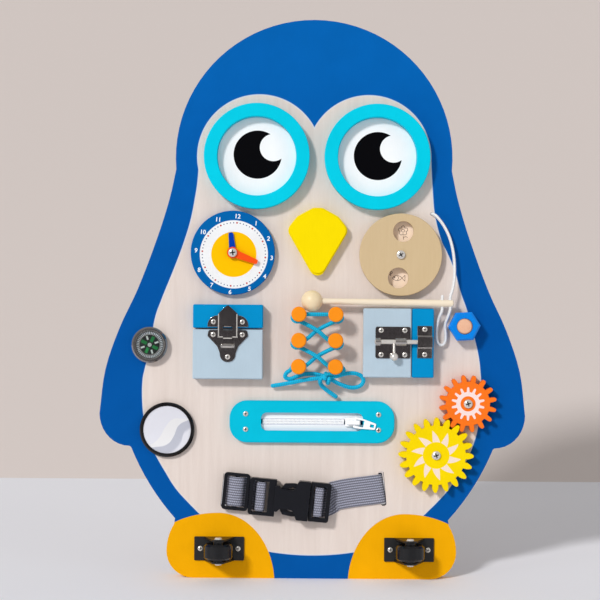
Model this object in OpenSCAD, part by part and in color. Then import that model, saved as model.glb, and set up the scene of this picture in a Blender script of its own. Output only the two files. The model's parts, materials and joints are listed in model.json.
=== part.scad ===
// Wooden busy board in the shape of a penguin, leaning back on a folding rear leg.
// Millimetres. X runs across the board, +Y points behind it and +Z up. The board's
// front bottom edge lies at the origin.

/* [Board] */
// Thickness of the plywood board
board_t = 12; // [10:0.5:16]
// Angle by which the board leans back
lean = 5; // [4:0.5:7]
// Radius of the round head
head_r = 119; // [114:0.5:124]
// Height of the head's centre along the board
head_z = 361.5; // [356:0.5:372]
// Half width of the board across the wing tips
wing_w = 183; // [176:0.5:190]
// Height of the wing tips along the board
wing_z = 141; // [136:0.5:146]
// Width and height of the wing tips' rounding
wing_round = [26, 28]; // [20:1:30]
// Half width of the body just under the wings
hip_w = 155.6; // [150:0.5:158]
// Half width of the body where it meets the feet
ankle_w = 117.4; // [112:0.5:122]
// Height of the notch between body and feet
ankle_z = 51; // [47:0.5:54]
// Half width of the board across the feet
foot_w = 124.6; // [121:0.2:128]
// Radius of the feet's lower outer corners
foot_round = 23; // [16:1:24]

/* [Fits] */
// Gap between a moving piece and what it lies on
rest_gap = 0.3; // [0.2:0.05:0.5]
// Radial clearance of a pin or shaft in its bore
run_gap = 0.08; // [0.04:0.01:0.1]
// Radial clearance of a fixed piece in its hole
set_gap = 0.05; // [0.03:0.01:0.1]

/* [Eyes] */
// Middle between the two eyes
eye_mid_x = 2.5; // [-2:0.1:6]
// Distance between the eye centres
eye_span = 103.3; // [98:0.1:108]
// Height of the eyes above the head's centre
eye_rise = 1; // [-4:0.2:8]
// Outer radius of the eye rings
eye_ring_r = 45.3; // [42:0.1:47]
// Radius of the opening in the eye rings
eye_hole_r = 33.8; // [30:0.2:37]
// Thickness of the eye rings
eye_ring_t = 11; // [6:0.5:14]
// Thickness of the white eye discs
eye_disc_t = 2; // [1:0.25:4]

/* [Beak] */
// Place of the beak's widest part
beak_at = [3.5, 299.5]; // [0:0.1:310]
// Half width of the beak before its corners are rounded
beak_w = 26.7; // [22:0.1:29]
// Height of the beak's top above its widest part
beak_up = 19.1; // [16:0.1:24]
// Depth of the beak's tip below its widest part, before it is rounded
beak_down = 45.8; // [38:0.1:50]
// Thickness of the beak
beak_t = 9; // [5:0.5:12]

/* [Clock] */
// Place of the clock's centre
clock_at = [-69.2, 279.6]; // [-80:0.1:290]
// Radius of the dial
clock_r = 36.1; // [32:0.1:38]
// Thickness of the dial
clock_t = 6; // [4:0.5:9]
// Length of the hour hand
hour_len = 17.4; // [14:0.2:20]
// Length of the minute hand
minute_len = 22.7; // [20:0.2:26]
// Radius of the hands' round ends
hand_hub_r = 4.9; // [4.5:0.1:6]
// Thickness of the hands
hand_t = 1.5; // [1:0.1:2.5]

/* [Picture wheel] */
// Place of the picture wheel's centre
wheel_at = [74.8, 278.9]; // [70:0.1:290]
// Radius of the picture wheel
wheel_r = 35.4; // [32:0.2:37]
// Thickness of the picture wheel
wheel_t = 6; // [4:0.5:9]
// Radius of its two windows
window_r = 8.8; // [6:0.2:10]
// Distance of the windows from the centre
window_at = 20; // [17:0.5:23]

/* [Doors] */
// Thickness of the wooden doors and blocks
block_t = 12; // [10:0.5:15]
// Gap between a door and its block
door_gap = 1.2; // [0.8:0.1:2]
// Left box: middle of its width
latch_box_x = -72.7; // [-76:0.1:-70]
// Left box: width
latch_box_w = 59.8; // [57:0.1:63]
// Left box: height of the split between block and door
latch_split_z = 214.5; // [211:0.1:218]
// Left box: height of the block above the split
latch_block_h = 20.1; // [17:0.1:22]
// Left box: height of the door below the split
latch_door_h = 42.4; // [40:0.1:45]
// Right box: left edge of the door
bolt_box_x = 43; // [42:0.1:45]
// Right box: width of the door
bolt_door_w = 41.2; // [40:0.2:43]
// Right box: width of the fixed block
bolt_block_w = 18.5; // [17:0.1:19]
// Right box: lower edge
bolt_box_z = 173.8; // [171:0.2:176]
// Right box: height
bolt_box_h = 59.1; // [57:0.1:60.5]

/* [Latch] */
// Sheet metal thickness of the latch and the bolt
metal_t = 1; // [0.8:0.1:1.2]
// Width of the latch plates
latch_w = 34.8; // [33:0.2:36]
// Width of the lifting hasp
hasp_w = 16.6; // [15:0.2:18]
// Height of the hasp's tip above the split
hasp_up = 20.6; // [19:0.2:22]
// Depth of the hasp's hinge below the split
hasp_pin_drop = 14.4; // [13.6:0.1:15]
// Radius of the hasp's hinge barrel
hasp_barrel_r = 2; // [1.8:0.1:2.2]
// Radius of the hasp's hinge pin
hasp_pin_r = 0.8; // [0.6:0.05:1]

/* [Door hinges] */
// Length of the concealed hinges
hinge_len = 46; // [40:1:50]
// Radius of the hinge barrels
hinge_r = 1.9; // [1.6:0.1:2]
// Radius of the hinge pins
hinge_pin_r = 0.9; // [0.7:0.05:1]
// Width of each hinge leaf
hinge_leaf_w = 12; // [9:0.5:14]

/* [Barrel bolt] */
// Size of the bolt's back plate
bolt_plate = [30, 27]; // [26:0.5:31]
// Middle of the back plate's width
bolt_plate_x = 68.3; // [68:0.1:68.6]
// Height of the rod along the board
bolt_rod_z = 204.4; // [203:0.1:205]
// Radius of the rod
bolt_rod_r = 1.9; // [1.6:0.1:2.1]
// Middle of the keeper's width
keeper_x = 95.4; // [95:0.1:95.8]
// Size of the keeper
keeper_size = [12.7, 27.4]; // [11:0.2:28]
// Travel of the rod
bolt_travel = 10.4; // [9:0.1:10.6]

/* [Lacing pegs] */
// Middle between the two columns of pegs
peg_mid_x = 3.6; // [2:0.1:5]
// Distance between the two columns
peg_span = 31.4; // [31:0.1:32.6]
// Height of the lowest row of pegs
peg_low_z = 182.8; // [182:0.1:183]
// Distance between the rows
peg_pitch = 22.3; // [22:0.1:22.8]
// Radius of the pegs' heads
peg_head_r = 6.5; // [5.8:0.1:6.6]
// Radius of the pegs' posts
peg_post_r = 3.5; // [3.2:0.1:3.7]
// Length of the pegs
peg_len = 22; // [20:0.5:24]
// Thickness of the pegs' heads
peg_head_t = 6; // [5:0.25:6.5]
// Radius of the holes that the lace runs through
peg_eye_r = 2.2; // [2.1:0.05:2.3]
// Diameter of the lace
lace_d = 3.6; // [3.2:0.1:3.6]

/* [Mallet] */
// Centre of the mallet's ball
ball_at = [-1.1, 238.7]; // [-3:0.1:240]
// Radius of the ball
ball_r = 9.2; // [8.4:0.1:9.3]
// How far the mallet's axis stands off the board
mallet_off = 11.5; // [11:0.1:12]
// Length of the mallet from the ball's centre to the end of the stick
mallet_len = 121; // [119:0.5:124]
// Radius of the stick at the ball
stick_r0 = 2.5; // [2.2:0.1:3]
// Radius of the stick at its end
stick_r1 = 3.1; // [3:0.1:3.5]
// Diameter of the mallet's cord
cord_d = 2.6; // [2:0.1:2.8]
// Radius of the cord's holes in the stick and the board
cord_hole_r = 1.5; // [1.45:0.05:1.7]

/* [Bolt and nut] */
// Place of the wooden bolt
stud_at = [129.3, 218]; // [128:0.1:219]
// Outer radius of the wooden thread
stud_r = 6.5; // [5.8:0.1:6.8]
// Length of the wooden bolt in front of the board
stud_len = 17; // [16.5:0.5:20]
// Radius of the bolt's shank inside the board
stud_root_r = 5; // [4:0.2:5.2]
// Radius of the nut across its corners
nut_r = 13.8; // [13:0.2:14.4]
// Thickness of the nut
nut_t = 12; // [10:0.5:12.5]
// Gap behind the nut
nut_off = 3; // [1.5:0.25:3.5]
// Pitch of the wooden thread
thread_pitch = 4; // [3:0.25:5]

/* [Zip] */
// Size of the zip's wooden plate
zip_plate = [141.5, 36]; // [136:0.5:144]
// Place of the plate's middle
zip_at = [-0.2, 135]; // [-2:0.1:136]
// Thickness of the plate
zip_t = 5; // [4.5:0.25:6]
// Size of the slot in the plate
zip_slot = [87.4, 15.5]; // [14:0.1:90]
// Distance between the teeth of one row
tooth_pitch = 2.8; // [2.4:0.1:3.2]
// Width of the slider
slider_w = 8.4; // [8:0.2:9.5]
// Length of the slider
slider_len = 13; // [12:0.5:13.5]
// Travel of the slider
zip_travel = 70; // [60:1:72]
// Length of the pull tab
pull_len = 20; // [17:0.5:22]

/* [Compass] */
// Place of the compass: in from the wing's tip, and up
compass_in = [43, 200.1]; // [40:0.1:201]
// Outer radius of the compass
compass_r = 15.4; // [14:0.2:16]
// Thickness of the compass
compass_t = 7; // [6:0.25:9]
// Radius of the turning card
card_r = 8.6; // [7.5:0.1:8.8]

/* [Mirror] */
// Place of the mirror: in from the wing's tip, and up
mirror_in = [58.4, 127.3]; // [55:0.1:130]
// Outer radius of the mirror's rim
mirror_r = 23.5; // [22:0.2:25]
// Thickness of the mirror's rim
mirror_t = 4.5; // [3.5:0.25:6]
// Width of the rim
mirror_rim = 3; // [2:0.1:4]

/* [Gears] */
// Centre of the large gear
gear_at = [106.1, 107.5]; // [105:0.1:109]
// Direction from the large gear to the small one
gear_line = 58.7; // [57:0.1:61]
// Tooth size of both gears
gear_module = 2.88; // [2.8:0.01:2.95]
// Teeth of the large gear
teeth_large = 20; // [20:1:20]
// Teeth of the small gear
teeth_small = 16; // [16:1:16]
// Thickness of the gears
gear_t = 9; // [7:0.5:11]
// How far the gears stand off the board
gear_off = 1.5; // [1.2:0.1:2.5]

/* [Strap] */
// Width of the webbing
web_w = 25; // [23:0.5:25.4]
// Thickness of the webbing
web_t = 1.3; // [1:0.1:1.5]
// Place of the left slot in the board
slot_left = [-74.7, 75.8]; // [-76:0.1:78]
// Place of the right slot in the board
slot_right = [60.7, 78]; // [58:0.1:80]
// Width and height of the slots in the board
slot_size = [4.8, 30]; // [4.6:0.1:32]
// Place of the tri-glide
glide_at = [-65, 74.9]; // [-65.6:0.1:75.5]
// Outer size of the tri-glide
glide_size = [22.5, 32]; // [21.5:0.25:33]
// Place of the middle of the buckle
buckle_at = [-19, 68.8]; // [-19.2:0.1:69.2]
// Tilt of the strap's pieces
strap_tilt = -5.2; // [-7:0.1:-3.5]
// Length of the closed buckle
buckle_len = 69.4; // [68:0.1:69.6]
// Height of the buckle
buckle_h = 33.6; // [33:0.2:35]
// Thickness of the buckle
buckle_t = 10.5; // [10:0.25:12]

/* [Casters] */
// Places of the two casters
caster_x = [-79.2, 84]; // [-84:0.2:86]
// Height of the casters along the board
caster_z = 25.4; // [22:0.2:28]
// Size of the caster's plate
caster_plate = [42.8, 20.4]; // [20:0.2:44]
// Radius of the wheels
caster_r = 12.3; // [11:0.1:12.8]
// Width of the wheels' treads
caster_w = 13; // [10:0.2:13]
// Distance of the axle from the board
caster_off = 20.5; // [19:0.25:22]
// Radius of the axles
axle_r = 2; // [1.6:0.1:2.4]

/* [Leg] */
// Height of the leg's pivot along the board
pivot_z = 290; // [270:1:300]
// Distance of the pivot from the board's back
pivot_off = 13; // [12:0.25:15]
// Angle of the open leg to the upright
leg_angle = 17; // [14:0.5:20]
// Width of the leg
leg_w = 56; // [44:1:70]
// Thickness of the leg
leg_t = 10; // [8:0.5:12]
// Radius of the leg's dowel pivot
dowel_r = 4; // [3:0.25:5]
// Thickness of the pivot's cheek blocks
cheek_t = 14; // [10:0.5:18]

/* [Screws] */
// Radius of the small screws' heads
small_head_r = 2.2; // [1.9:0.1:2.4]
// Radius of the small screws' shanks
small_shank_r = 1.1; // [0.8:0.05:1.3]
// Radius of the pivot screws' heads
pivot_head_r = 3.8; // [3.5:0.1:4.2]
// Radius of the pivot screws' shanks
pivot_shank_r = 2; // [1.6:0.05:2.1]
// Wall of the sleeves that the gears and the picture wheel turn on
sleeve_wall = 0.9; // [0.7:0.05:1]

/* [Hidden] */
$fn = 64;

// ---- Places worked out from the sizes above ----
front_d = rest_gap + block_t;           // front face of a door
eye_z = head_z + eye_rise;
hub_r = pivot_shank_r + sleeve_wall;    // outside of the pivot sleeves
wheel_off = 1.5;                        // picture wheel off the board
sleeve_flange_t = 1.2;
hand_off = clock_t + rest_gap;
latch_door_z = latch_split_z - door_gap / 2;
latch_block_z = latch_split_z + door_gap / 2;
latch_door_low = latch_door_z - latch_door_h;
hinge_rise = hinge_r;                   // pin above the door's lower edge
hinge_d = hinge_r + rest_gap;           // pin in front of the board
hinge_sheet = 1;
bolt_block_x = bolt_box_x + bolt_door_w + 0.6;
bolt_box_mid = bolt_box_z + bolt_box_h / 2;
bolt_rod_d = front_d + metal_t + bolt_rod_r + 0.9;
bolt_knob_x = bolt_plate_x + 0.8;
peg_xs = [peg_mid_x - peg_span / 2, peg_mid_x + peg_span / 2];
peg_zs = [for (i = [0:2]) peg_low_z + i * peg_pitch];
peg_eye_d = peg_len - peg_head_t - peg_eye_r - 0.6;
stick_holes = [mallet_len - 2.9, mallet_len - 9.7];
cord_hole_at = [101.7, 314.2];
compass_at = [compass_in[0] - wing_w, compass_in[1]];
mirror_at = [mirror_in[0] - wing_w, mirror_in[1]];
gear_span = gear_module * (teeth_large + teeth_small) / 2;
gear_small_at = gear_at + gear_span * [cos(gear_line), sin(gear_line)];
gear_shift = 0.35;                      // profile shift, added to the large gear
slider_x = zip_slot[0] / 2 - slider_len / 2 - 2.2;
pull_pivot = [slider_len / 2 - 4.6, 6]; // along the slider, and off the board
buckle_d = 3;                           // back of the buckle off the board
seam_u = 17;                            // where the buckle's halves meet
bar_u = 25;                             // the webbing bars, from the buckle's middle
caster_leg_t = 1.5;
caster_gap = caster_plate[1] - 2 * caster_leg_t;
leg_turn = lean + leg_angle;
web_skew = 2.8;
clamp_t = web_t + 1.8;
right_at = buckle_at + bar_u * [cos(strap_tilt), sin(strap_tilt)];
right_from = right_at + [0, web_skew];  // the strap leaves the bar at a slant
right_span = norm(slot_right - right_from);
right_turn = atan2(slot_right[1] - right_from[1], slot_right[0] - right_from[0]);
bar_d = buckle_d + 3;                   // back of the buckle's webbing bars
wood_screw_len = 19;
clamp_screw_len = clamp_t + 9;

latch_block_screws = [[-12.3, 5.9], [12.3, 5.9]];
latch_door_spots = [[-12.4, -5], [12.4, -5], [0, -24]];
bolt_plate_spots = [for (u = [-1, 1], v = [-1, 1]) [u * 10.1, v * 10.4]];
keeper_spots = [[0, -10.7], [0, 10.7]];
zip_spots = [for (u = [-1, 1], v = [-1, 1]) [u * 57, v * 6.6]];
caster_spots = [[-16.2, 0], [16.2, 0]];
clamp_spots = [[0, -16], [0, 16]];
cheek_spots = [[0, -13], [0, 13]];
cheek_seat = 9;                         // wood between board and screw head

// Route of the lace: across the board, up it and off it. One end hangs left of the
// knot, then the bow's right loop, back to the lowest left peg, zigzag up to the top
// row, across it, zigzag down, and through the knot to the other end.
LACE_START = [[-35.5, 165.5, 4.5], [-27, 166.5, 5.5], [-18, 168.5, 8], [-8, 170, 11],
    [2, 171, 12.5], [12, 172.5, 13], [22, 175.5, 11], [32, 177, 8.5], [40, 175.5, 6.5],
    [44, 171, 5.5], [40, 166, 5], [31, 165, 5.5], [21, 168, 7.5], [12, 170.5, 8.8],
    [2, 173.5, 8], [-8, 175, 7.5], [-17, 175, 8.5], [-20.5, 178, 11]];
LACE_END = [[28, 177.5, 12], [24, 174, 15.5], [17.5, 172.8, 17.6], [11, 170.5, 17],
    [12, 165, 13], [16.5, 161, 9], [20.5, 157.5, 5]];
// One bend of the lace round a peg, from the peg's eye to under its post, for a left peg
LACE_WRAP = [[-3, 0, 0], [-5.1, -1.7, 0], [-5, -4.4, -1], [-2.4, -6.2, -1], [1, -6.2, -0.5]];
// Route of the mallet's cord: from behind the board to the stick, through it, round a
// hanging loop, up through it again, to the stopper knot.
CORD_ROUTE = [[101.7, 314.2, -15], [101.7, 314.2, -7], [101.8, 314.2, 0], [102.8, 314, 3],
    [105.5, 312, 5], [111.6, 304, 5.5], [116.5, 294, 6], [119.5, 282.5, 6.5],
    [120.8, 270.5, 7], [120.6, 259, 8.5], [119, 249.5, 10.8], [117, 243, 11.5],
    [117, 237.5, 11.5], [117, 232.2, 11.5], [115.2, 225.5, 8.8], [113.3, 219, 5.6],
    [114, 210, 4], [113, 203.5, 4], [109.8, 201.6, 4], [106.6, 205, 4],
    [106.2, 215, 4.2], [107.6, 224, 7], [110.1, 231.5, 11.3], [110.2, 234.5, 11.5],
    [110.2, 239, 11.5], [110.2, 243.5, 11.5]];

// ---- Shapes ----
function arc(cx, cy, r, a0, a1, n) = oval(cx, cy, r, r, a0, a1, n);
function oval(cx, cy, rx, ry, a0, a1, n) =
    [for (i = [0:n]) let (a = a0 + (a1 - a0) * i / n) [cx + rx * cos(a), cy + ry * sin(a)]];
function unit(v) = v / norm(v);
function near_turn(a) = a > 180 ? a - 360 : a < -180 ? a + 360 : a;
// An arc from p to q whose middle stands rise to the left of the line
function bow(p, q, rise, n) =
    let (d = q - p, r = (norm(d) * norm(d) / 4 + rise * rise) / (2 * rise),
         c = (p + q) / 2 - unit([-d[1], d[0]]) * (r - rise),
         a0 = atan2(p[1] - c[1], p[0] - c[0]), a1 = atan2(q[1] - c[1], q[0] - c[0]))
    arc(c[0], c[1], r, a0, a0 + near_turn(a1 - a0), n);
// A smooth line through points, of any dimension
function spline(p, n) =
    [for (i = [0:len(p) - 2], k = [0:n - 1])
        let (t = k / n, b = p[i], c = p[i + 1], span = norm(c - b),
             v0 = unit(c - p[max(i - 1, 0)]) * span,
             v1 = unit(p[min(i + 2, len(p) - 1)] - b) * span)
        b + v0 * t + (3 * (c - b) - 2 * v0 - v1) * t * t + (v0 + v1 - 2 * (c - b)) * t * t * t,
     p[len(p) - 1]];
// The outline p with its corners rounded to the radii r
function rounded(p, r, n = 5) =
    [for (i = [0:len(p) - 1])
        let (v = p[i], m = len(p), d0 = unit(p[(i + m - 1) % m] - v),
             d1 = unit(p[(i + 1) % m] - v), half = acos(d0 * d1) / 2,
             ri = is_list(r) ? r[i] : r, c = v + unit(d0 + d1) * ri / sin(half),
             s = v + d0 * ri / tan(half) - c, e = v + d1 * ri / tan(half) - c,
             a0 = atan2(s[1], s[0]), turn = near_turn(atan2(e[1], e[0]) - a0))
        for (k = [0:ri > 0 ? n : 0])
            ri > 0 ? c + ri * [cos(a0 + turn * k / n), sin(a0 + turn * k / n)] : v];
function box_points(w, h) = [[-w / 2, -h / 2], [w / 2, -h / 2], [w / 2, h / 2], [-w / 2, h / 2]];

// Puts a shape, drawn face up, on the board's front at x and z, d off it
module on_board(at, d = 0, turn = 0) {
    rotate([-lean, 0, 0])
        translate([at[0], -d, at[1]])
            rotate([90, 0, 0])
                rotate([0, 0, turn])
                    children();
}

module at_spots(spots) {
    for (s = spots)
        translate([s[0], s[1], 0])
            children();
}

module ring(r_out, r_in, t, round) {
    rotate_extrude($fn = 96)
        polygon(concat([[r_in, 0], [r_out, 0]], arc(r_out - round, t - round, round, 0, 90, 4),
            arc(r_in + round, t - round, round, 90, 180, 4)));
}

module disc(r, t, round) {
    rotate_extrude($fn = 96)
        polygon(concat([[0, 0], [r, 0]], arc(r - round, t - round, round, 0, 90, 4), [[0, t]]));
}

// A board with rounded corners and a chamfered front
module slab(w, h, t, corner, chamfer) {
    intersection() {
        linear_extrude(t)
            polygon(rounded(box_points(w, h), corner));
        rotate([90, 0, 0])
            translate([0, 0, -h])
                linear_extrude(2 * h)
                    slab_section(w, t, chamfer);
        rotate([90, 0, 90])
            translate([0, 0, -w])
                linear_extrude(2 * w)
                    slab_section(h, t, chamfer);
    }
}

module slab_section(w, t, c) {
    polygon([[-w / 2, 0], [w / 2, 0], [w / 2, t - c], [w / 2 - c, t],
        [c - w / 2, t], [-w / 2, t - c]]);
}

// A pan head screw, its head standing on z = 0
module pan_screw(head_r, shank_r, length) {
    head_h = head_r * 0.62;
    slot = head_r * 0.28;
    difference() {
        union() {
            rotate_extrude($fn = 32)
                polygon(concat([[0, 0], [head_r, 0]],
                    oval(0, head_h * 0.35, head_r, head_h * 0.65, 0, 90, 5)));
            translate([0, 0, -length])
                cylinder(r = shank_r, h = length + 0.1, $fn = 24);
        }
        for (a = [0, 90])
            rotate([0, 0, a])
                translate([-head_r * 0.6, -slot / 2, head_h * 0.45])
                    cube([head_r * 1.2, slot, head_h]);
    }
}

module small_screw(length) {
    pan_screw(small_head_r, small_shank_r, length);
}

// The hole for a small screw, from below its head down
module small_hole(length) {
    translate([0, 0, -length - 0.5])
        cylinder(r = small_shank_r + set_gap, h = length + 1.5, $fn = 24);
}

// ---- Where the screws go: each is drawn by shape and drilled by hole ----
module for_front_screws() {
    on_board([latch_box_x, latch_split_z], front_d + metal_t - rest_gap)
        at_spots(latch_block_screws)
            children();
    on_board([bolt_plate_x, bolt_rod_z - 0.6], front_d + metal_t)
        at_spots(bolt_plate_spots)
            children();
    on_board([keeper_x, bolt_rod_z], block_t + metal_t)
        at_spots(keeper_spots)
            children();
    on_board(zip_at, zip_t)
        at_spots(zip_spots)
            children();
    for (x = caster_x)
        on_board([x, caster_z], caster_leg_t)
            at_spots(caster_spots)
                children();
}

// Screws that come from behind the board and hold the pegs
module for_peg_screws() {
    for (x = peg_xs, z = peg_zs)
        on_board([x, z], -board_t)
            mirror([0, 0, 1])
                children();
}

module for_clamps() {
    for (end = [[slot_left, strap_tilt, 12], [slot_right, right_turn, -12]])
        on_board(end[0] + end[2] * [cos(end[1]), sin(end[1])], -board_t - clamp_t, end[1])
            children();
}

module for_clamp_screws() {
    for_clamps()
        mirror([0, 0, 1])
            at_spots(clamp_spots)
                children();
}

// ---- Board ----
neck_angle = 5;
side_start = [head_r * cos(neck_angle), head_z - head_r * sin(neck_angle)];
// Shares of the way down and of the way out, from the neck to the wing tip
SIDE_SHAPE = [[0, 0], [0.12, 0.085], [0.28, 0.245], [0.49, 0.5], [0.65, 0.74],
    [0.82, 0.925], [1, 1]];
wing_under = wing_z - wing_round[1];
foot_mid = [foot_w - 40.7, foot_round];
half_outline = concat(
    arc(0, head_z, head_r, 90, -neck_angle, 22),
    spline([for (s = SIDE_SHAPE) side_start + [s[1] * (wing_w - side_start[0]),
        s[0] * (wing_z - side_start[1])]], 4),
    oval(wing_w - wing_round[0], wing_z, wing_round[0], wing_round[1], -8, -90, 8),
    bow([hip_w, wing_under - 1], [ankle_w, ankle_z], 3.1, 8),
    oval(foot_mid[0], foot_mid[1], 40.7, 43, 33, 0, 5),
    arc(foot_w - foot_round, foot_round, foot_round, -10, -90, 7)
);
board_outline = concat(half_outline,
    [for (i = [len(half_outline) - 1:-1:1]) [-half_outline[i][0], half_outline[i][1]]]);

module board_panel() {
    color("royalblue")
    difference() {
        on_board([0, 0], -board_t)
            linear_extrude(board_t)
                polygon(board_outline);
        // the bottom edge is planed level, so the board stands on its whole thickness
        translate([-wing_w, -board_t, -foot_round])
            cube([2 * wing_w, 3 * board_t, foot_round]);
        for_front_screws()
            small_hole(10);
        for_peg_screws()
            small_hole(wood_screw_len);
        for_clamp_screws()
            small_hole(clamp_screw_len);
        cheek_screws()
            small_hole(wood_screw_len);
        pivot_holes();
        for (end = [[slot_left, strap_tilt], [slot_right, right_turn * 0.6]])
            on_board(end[0], -board_t - 1, end[1])
                linear_extrude(board_t + 2)
                    polygon(rounded(box_points(slot_size[0], slot_size[1]), slot_size[0] / 2.5));
        on_board(cord_hole_at, -board_t - 1)
            cylinder(r = cord_hole_r, h = board_t + 2);
        on_board(stud_at, -board_t - 1)
            cylinder(r = stud_root_r + set_gap, h = board_t + 2);
        // mortise under the concealed hinge leaves, and the channel under the zip
        on_board([latch_box_x, latch_door_low + hinge_rise])
            hinge_mortise();
        on_board([bolt_box_x + hinge_rise, bolt_box_mid], 0, -90)
            hinge_mortise();
        on_board(zip_at, -3)
            linear_extrude(3.1)
                square([zip_slot[0] + 4, 11], center = true);
    }
}

module pivot_holes() {
    for (at = [clock_at, wheel_at, gear_at, gear_small_at])
        on_board(at, -11)
            cylinder(r = pivot_shank_r + set_gap, h = 12, $fn = 32);
}

module eye_rings() {
    color("darkturquoise")
    for (side = [-1, 1])
        on_board([eye_mid_x + side * eye_span / 2, eye_z])
            ring(eye_ring_r, eye_hole_r, eye_ring_t, 0.9);
}

module eye_discs() {
    color("white")
    for (side = [-1, 1])
        on_board([eye_mid_x + side * eye_span / 2, eye_z])
            disc(eye_hole_r - set_gap, eye_disc_t, 0.3);
}

module beak() {
    color("gold")
    on_board(beak_at)
        union() {
            linear_extrude(beak_t - 1.5)
                polygon(beak_outline(0));
            linear_extrude(beak_t)
                polygon(beak_outline(1.1));
        }
}

// Kite under a low roof; inset draws it smaller all round
function beak_outline(inset) =
    let (k = 1 - inset / beak_w, w = beak_w * k, up = beak_up * k)
    rounded([[0, -beak_down * k], [w, 0], [0.67 * w, 0.6 * up], [0.15 * w, up],
        [-0.15 * w, up], [-0.67 * w, 0.6 * up], [-w, 0]], [6.9, 7, 8, 6, 6, 8, 7], 6);

// ---- Clock ----
module clock_dial() {
    color("white")
    on_board(clock_at)
        difference() {
            disc(clock_r, clock_t, 0.8);
            translate([0, 0, -1])
                cylinder(r = pivot_shank_r + set_gap, h = clock_t + 2);
        }
}

module clock_hand(length, root_w, tip_w) {
    linear_extrude(hand_t)
        difference() {
            union() {
                circle(r = hand_hub_r);
                polygon(rounded([[-root_w / 2, -0.5], [root_w / 2, -0.5], [tip_w / 2, length],
                    [-tip_w / 2, length]], [0.4, 0.4, 1.2, 1.2]));
            }
            circle(r = pivot_shank_r + run_gap);
        }
}

module hour_hand() {
    color("mediumblue")
    on_board(clock_at, hand_off, 6)
        clock_hand(hour_len, 5.9, 3.9);
}

module minute_hand() {
    color("orangered")
    on_board(clock_at, hand_off + hand_t + rest_gap, -111)
        clock_hand(minute_len, 7.2, 4);
}

clock_screw_d = hand_off + 2 * hand_t + 2 * rest_gap;

module pivot_screws() {
    color("silver") {
        on_board(clock_at, clock_screw_d, 10)
            pan_screw(pivot_head_r, pivot_shank_r, clock_screw_d + 9);
        on_board(wheel_at, wheel_off + wheel_t + rest_gap, 35)
            pan_screw(pivot_head_r, pivot_shank_r, wheel_off + wheel_t + 9);
        for (at = [gear_at, gear_small_at])
            on_board(at, gear_off + gear_t + rest_gap, 20)
                pan_screw(pivot_head_r, pivot_shank_r, gear_off + gear_t + 9);
    }
}

// Flanged sleeves under and through the picture wheel and the gears
module sleeve(height) {
    difference() {
        union() {
            cylinder(r = hub_r, h = height, $fn = 48);
            cylinder(r = hub_r + 3.5, h = sleeve_flange_t, $fn = 48);
        }
        translate([0, 0, -1])
            cylinder(r = pivot_shank_r + set_gap, h = height + 2, $fn = 48);
    }
}

module pivot_sleeves() {
    color("whitesmoke") {
        on_board(wheel_at)
            sleeve(wheel_off + wheel_t + rest_gap);
        for (at = [gear_at, gear_small_at])
            on_board(at)
                sleeve(gear_off + gear_t + rest_gap);
    }
}

module picture_wheel() {
    color("burlywood")
    on_board(wheel_at, wheel_off, -6)
        difference() {
            disc(wheel_r, wheel_t, 0.8);
            translate([0, 0, -1])
                cylinder(r = hub_r + run_gap, h = wheel_t + 2);
            for (side = [-1, 1])
                translate([0, side * window_at, -1])
                    cylinder(r = window_r, h = wheel_t + 2);
        }
}

// ---- Left box with its latch ----
module latch_block() {
    color("deepskyblue")
    difference() {
        on_board([latch_box_x, latch_block_z + latch_block_h / 2])
            slab(latch_box_w, latch_block_h, block_t, 1.2, 0.8);
        for_front_screws()
            small_hole(10);
    }
}

module latch_door() {
    color("lightsteelblue")
    difference() {
        on_board([latch_box_x, latch_door_low + latch_door_h / 2], rest_gap)
            slab(latch_box_w, latch_door_h, block_t, 1.2, 0.8);
        on_board([latch_box_x, latch_split_z], front_d + metal_t)
            at_spots(latch_door_spots)
                small_hole(9);
        on_board([latch_box_x, latch_door_low + hinge_rise]) {
            hinge_rebate();
            hinge_ease(latch_box_w);
        }
    }
}

module latch_catch() {
    half = latch_w / 2;
    color("dimgray")
    difference() {
        on_board([latch_box_x, latch_split_z], block_t)
            union() {
                linear_extrude(metal_t)
                    polygon(rounded([[-half, 1.6], [half, 1.6], [half, 11.4], [-half, 11.4]],
                        [0.4, 0.4, 8.5, 8.5], 8));
                // the straight catch that stands through the hasp's slot
                translate([-3.1, 1.6, 0])
                    cube([6.2, 0.8, 5.2]);
            }
        for_front_screws()
            small_hole(3);
    }
}

hasp_pin_d = front_d + metal_t + hasp_barrel_r + rest_gap;
hasp_half = 3.8;                        // half the width of the hasp's tongue
lug_w = 1.6;

module latch_base() {
    half = latch_w / 2;
    color("dimgray")
    difference() {
        on_board([latch_box_x, latch_split_z], front_d)
            union() {
                linear_extrude(metal_t)
                    polygon(rounded([[1 - half, -1], [half - 1, -1], [half, -6.2], [9, -15],
                        [6.7, -21], [6.7, -28.4], [-6.7, -28.4], [-6.7, -21], [-9, -15],
                        [-half, -6.2]], [2, 2, 1.5, 6, 5, 6.4, 6.4, 5, 6, 1.5], 6));
                for (side = [-1, 1])
                    translate([side * (hasp_half + 0.3 + lug_w / 2), -hasp_pin_drop, 0])
                        hasp_lug();
            }
        on_board([latch_box_x, latch_split_z], front_d + metal_t)
            at_spots(latch_door_spots)
                small_hole(3);
        on_board([latch_box_x, latch_split_z - hasp_pin_drop], hasp_pin_d)
            rotate([0, 90, 0])
                cylinder(r = hasp_pin_r + set_gap, h = 30, center = true, $fn = 32);
    }
}

module hasp_lug() {
    axis_h = hasp_pin_d - front_d;
    translate([-lug_w / 2, 0, axis_h])
        rotate([0, 90, 0])
            cylinder(r = hasp_barrel_r, h = lug_w, $fn = 32);
    translate([-lug_w / 2, -hasp_barrel_r, 0.2])
        cube([lug_w, 2 * hasp_barrel_r, axis_h - 0.2]);
}

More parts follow.
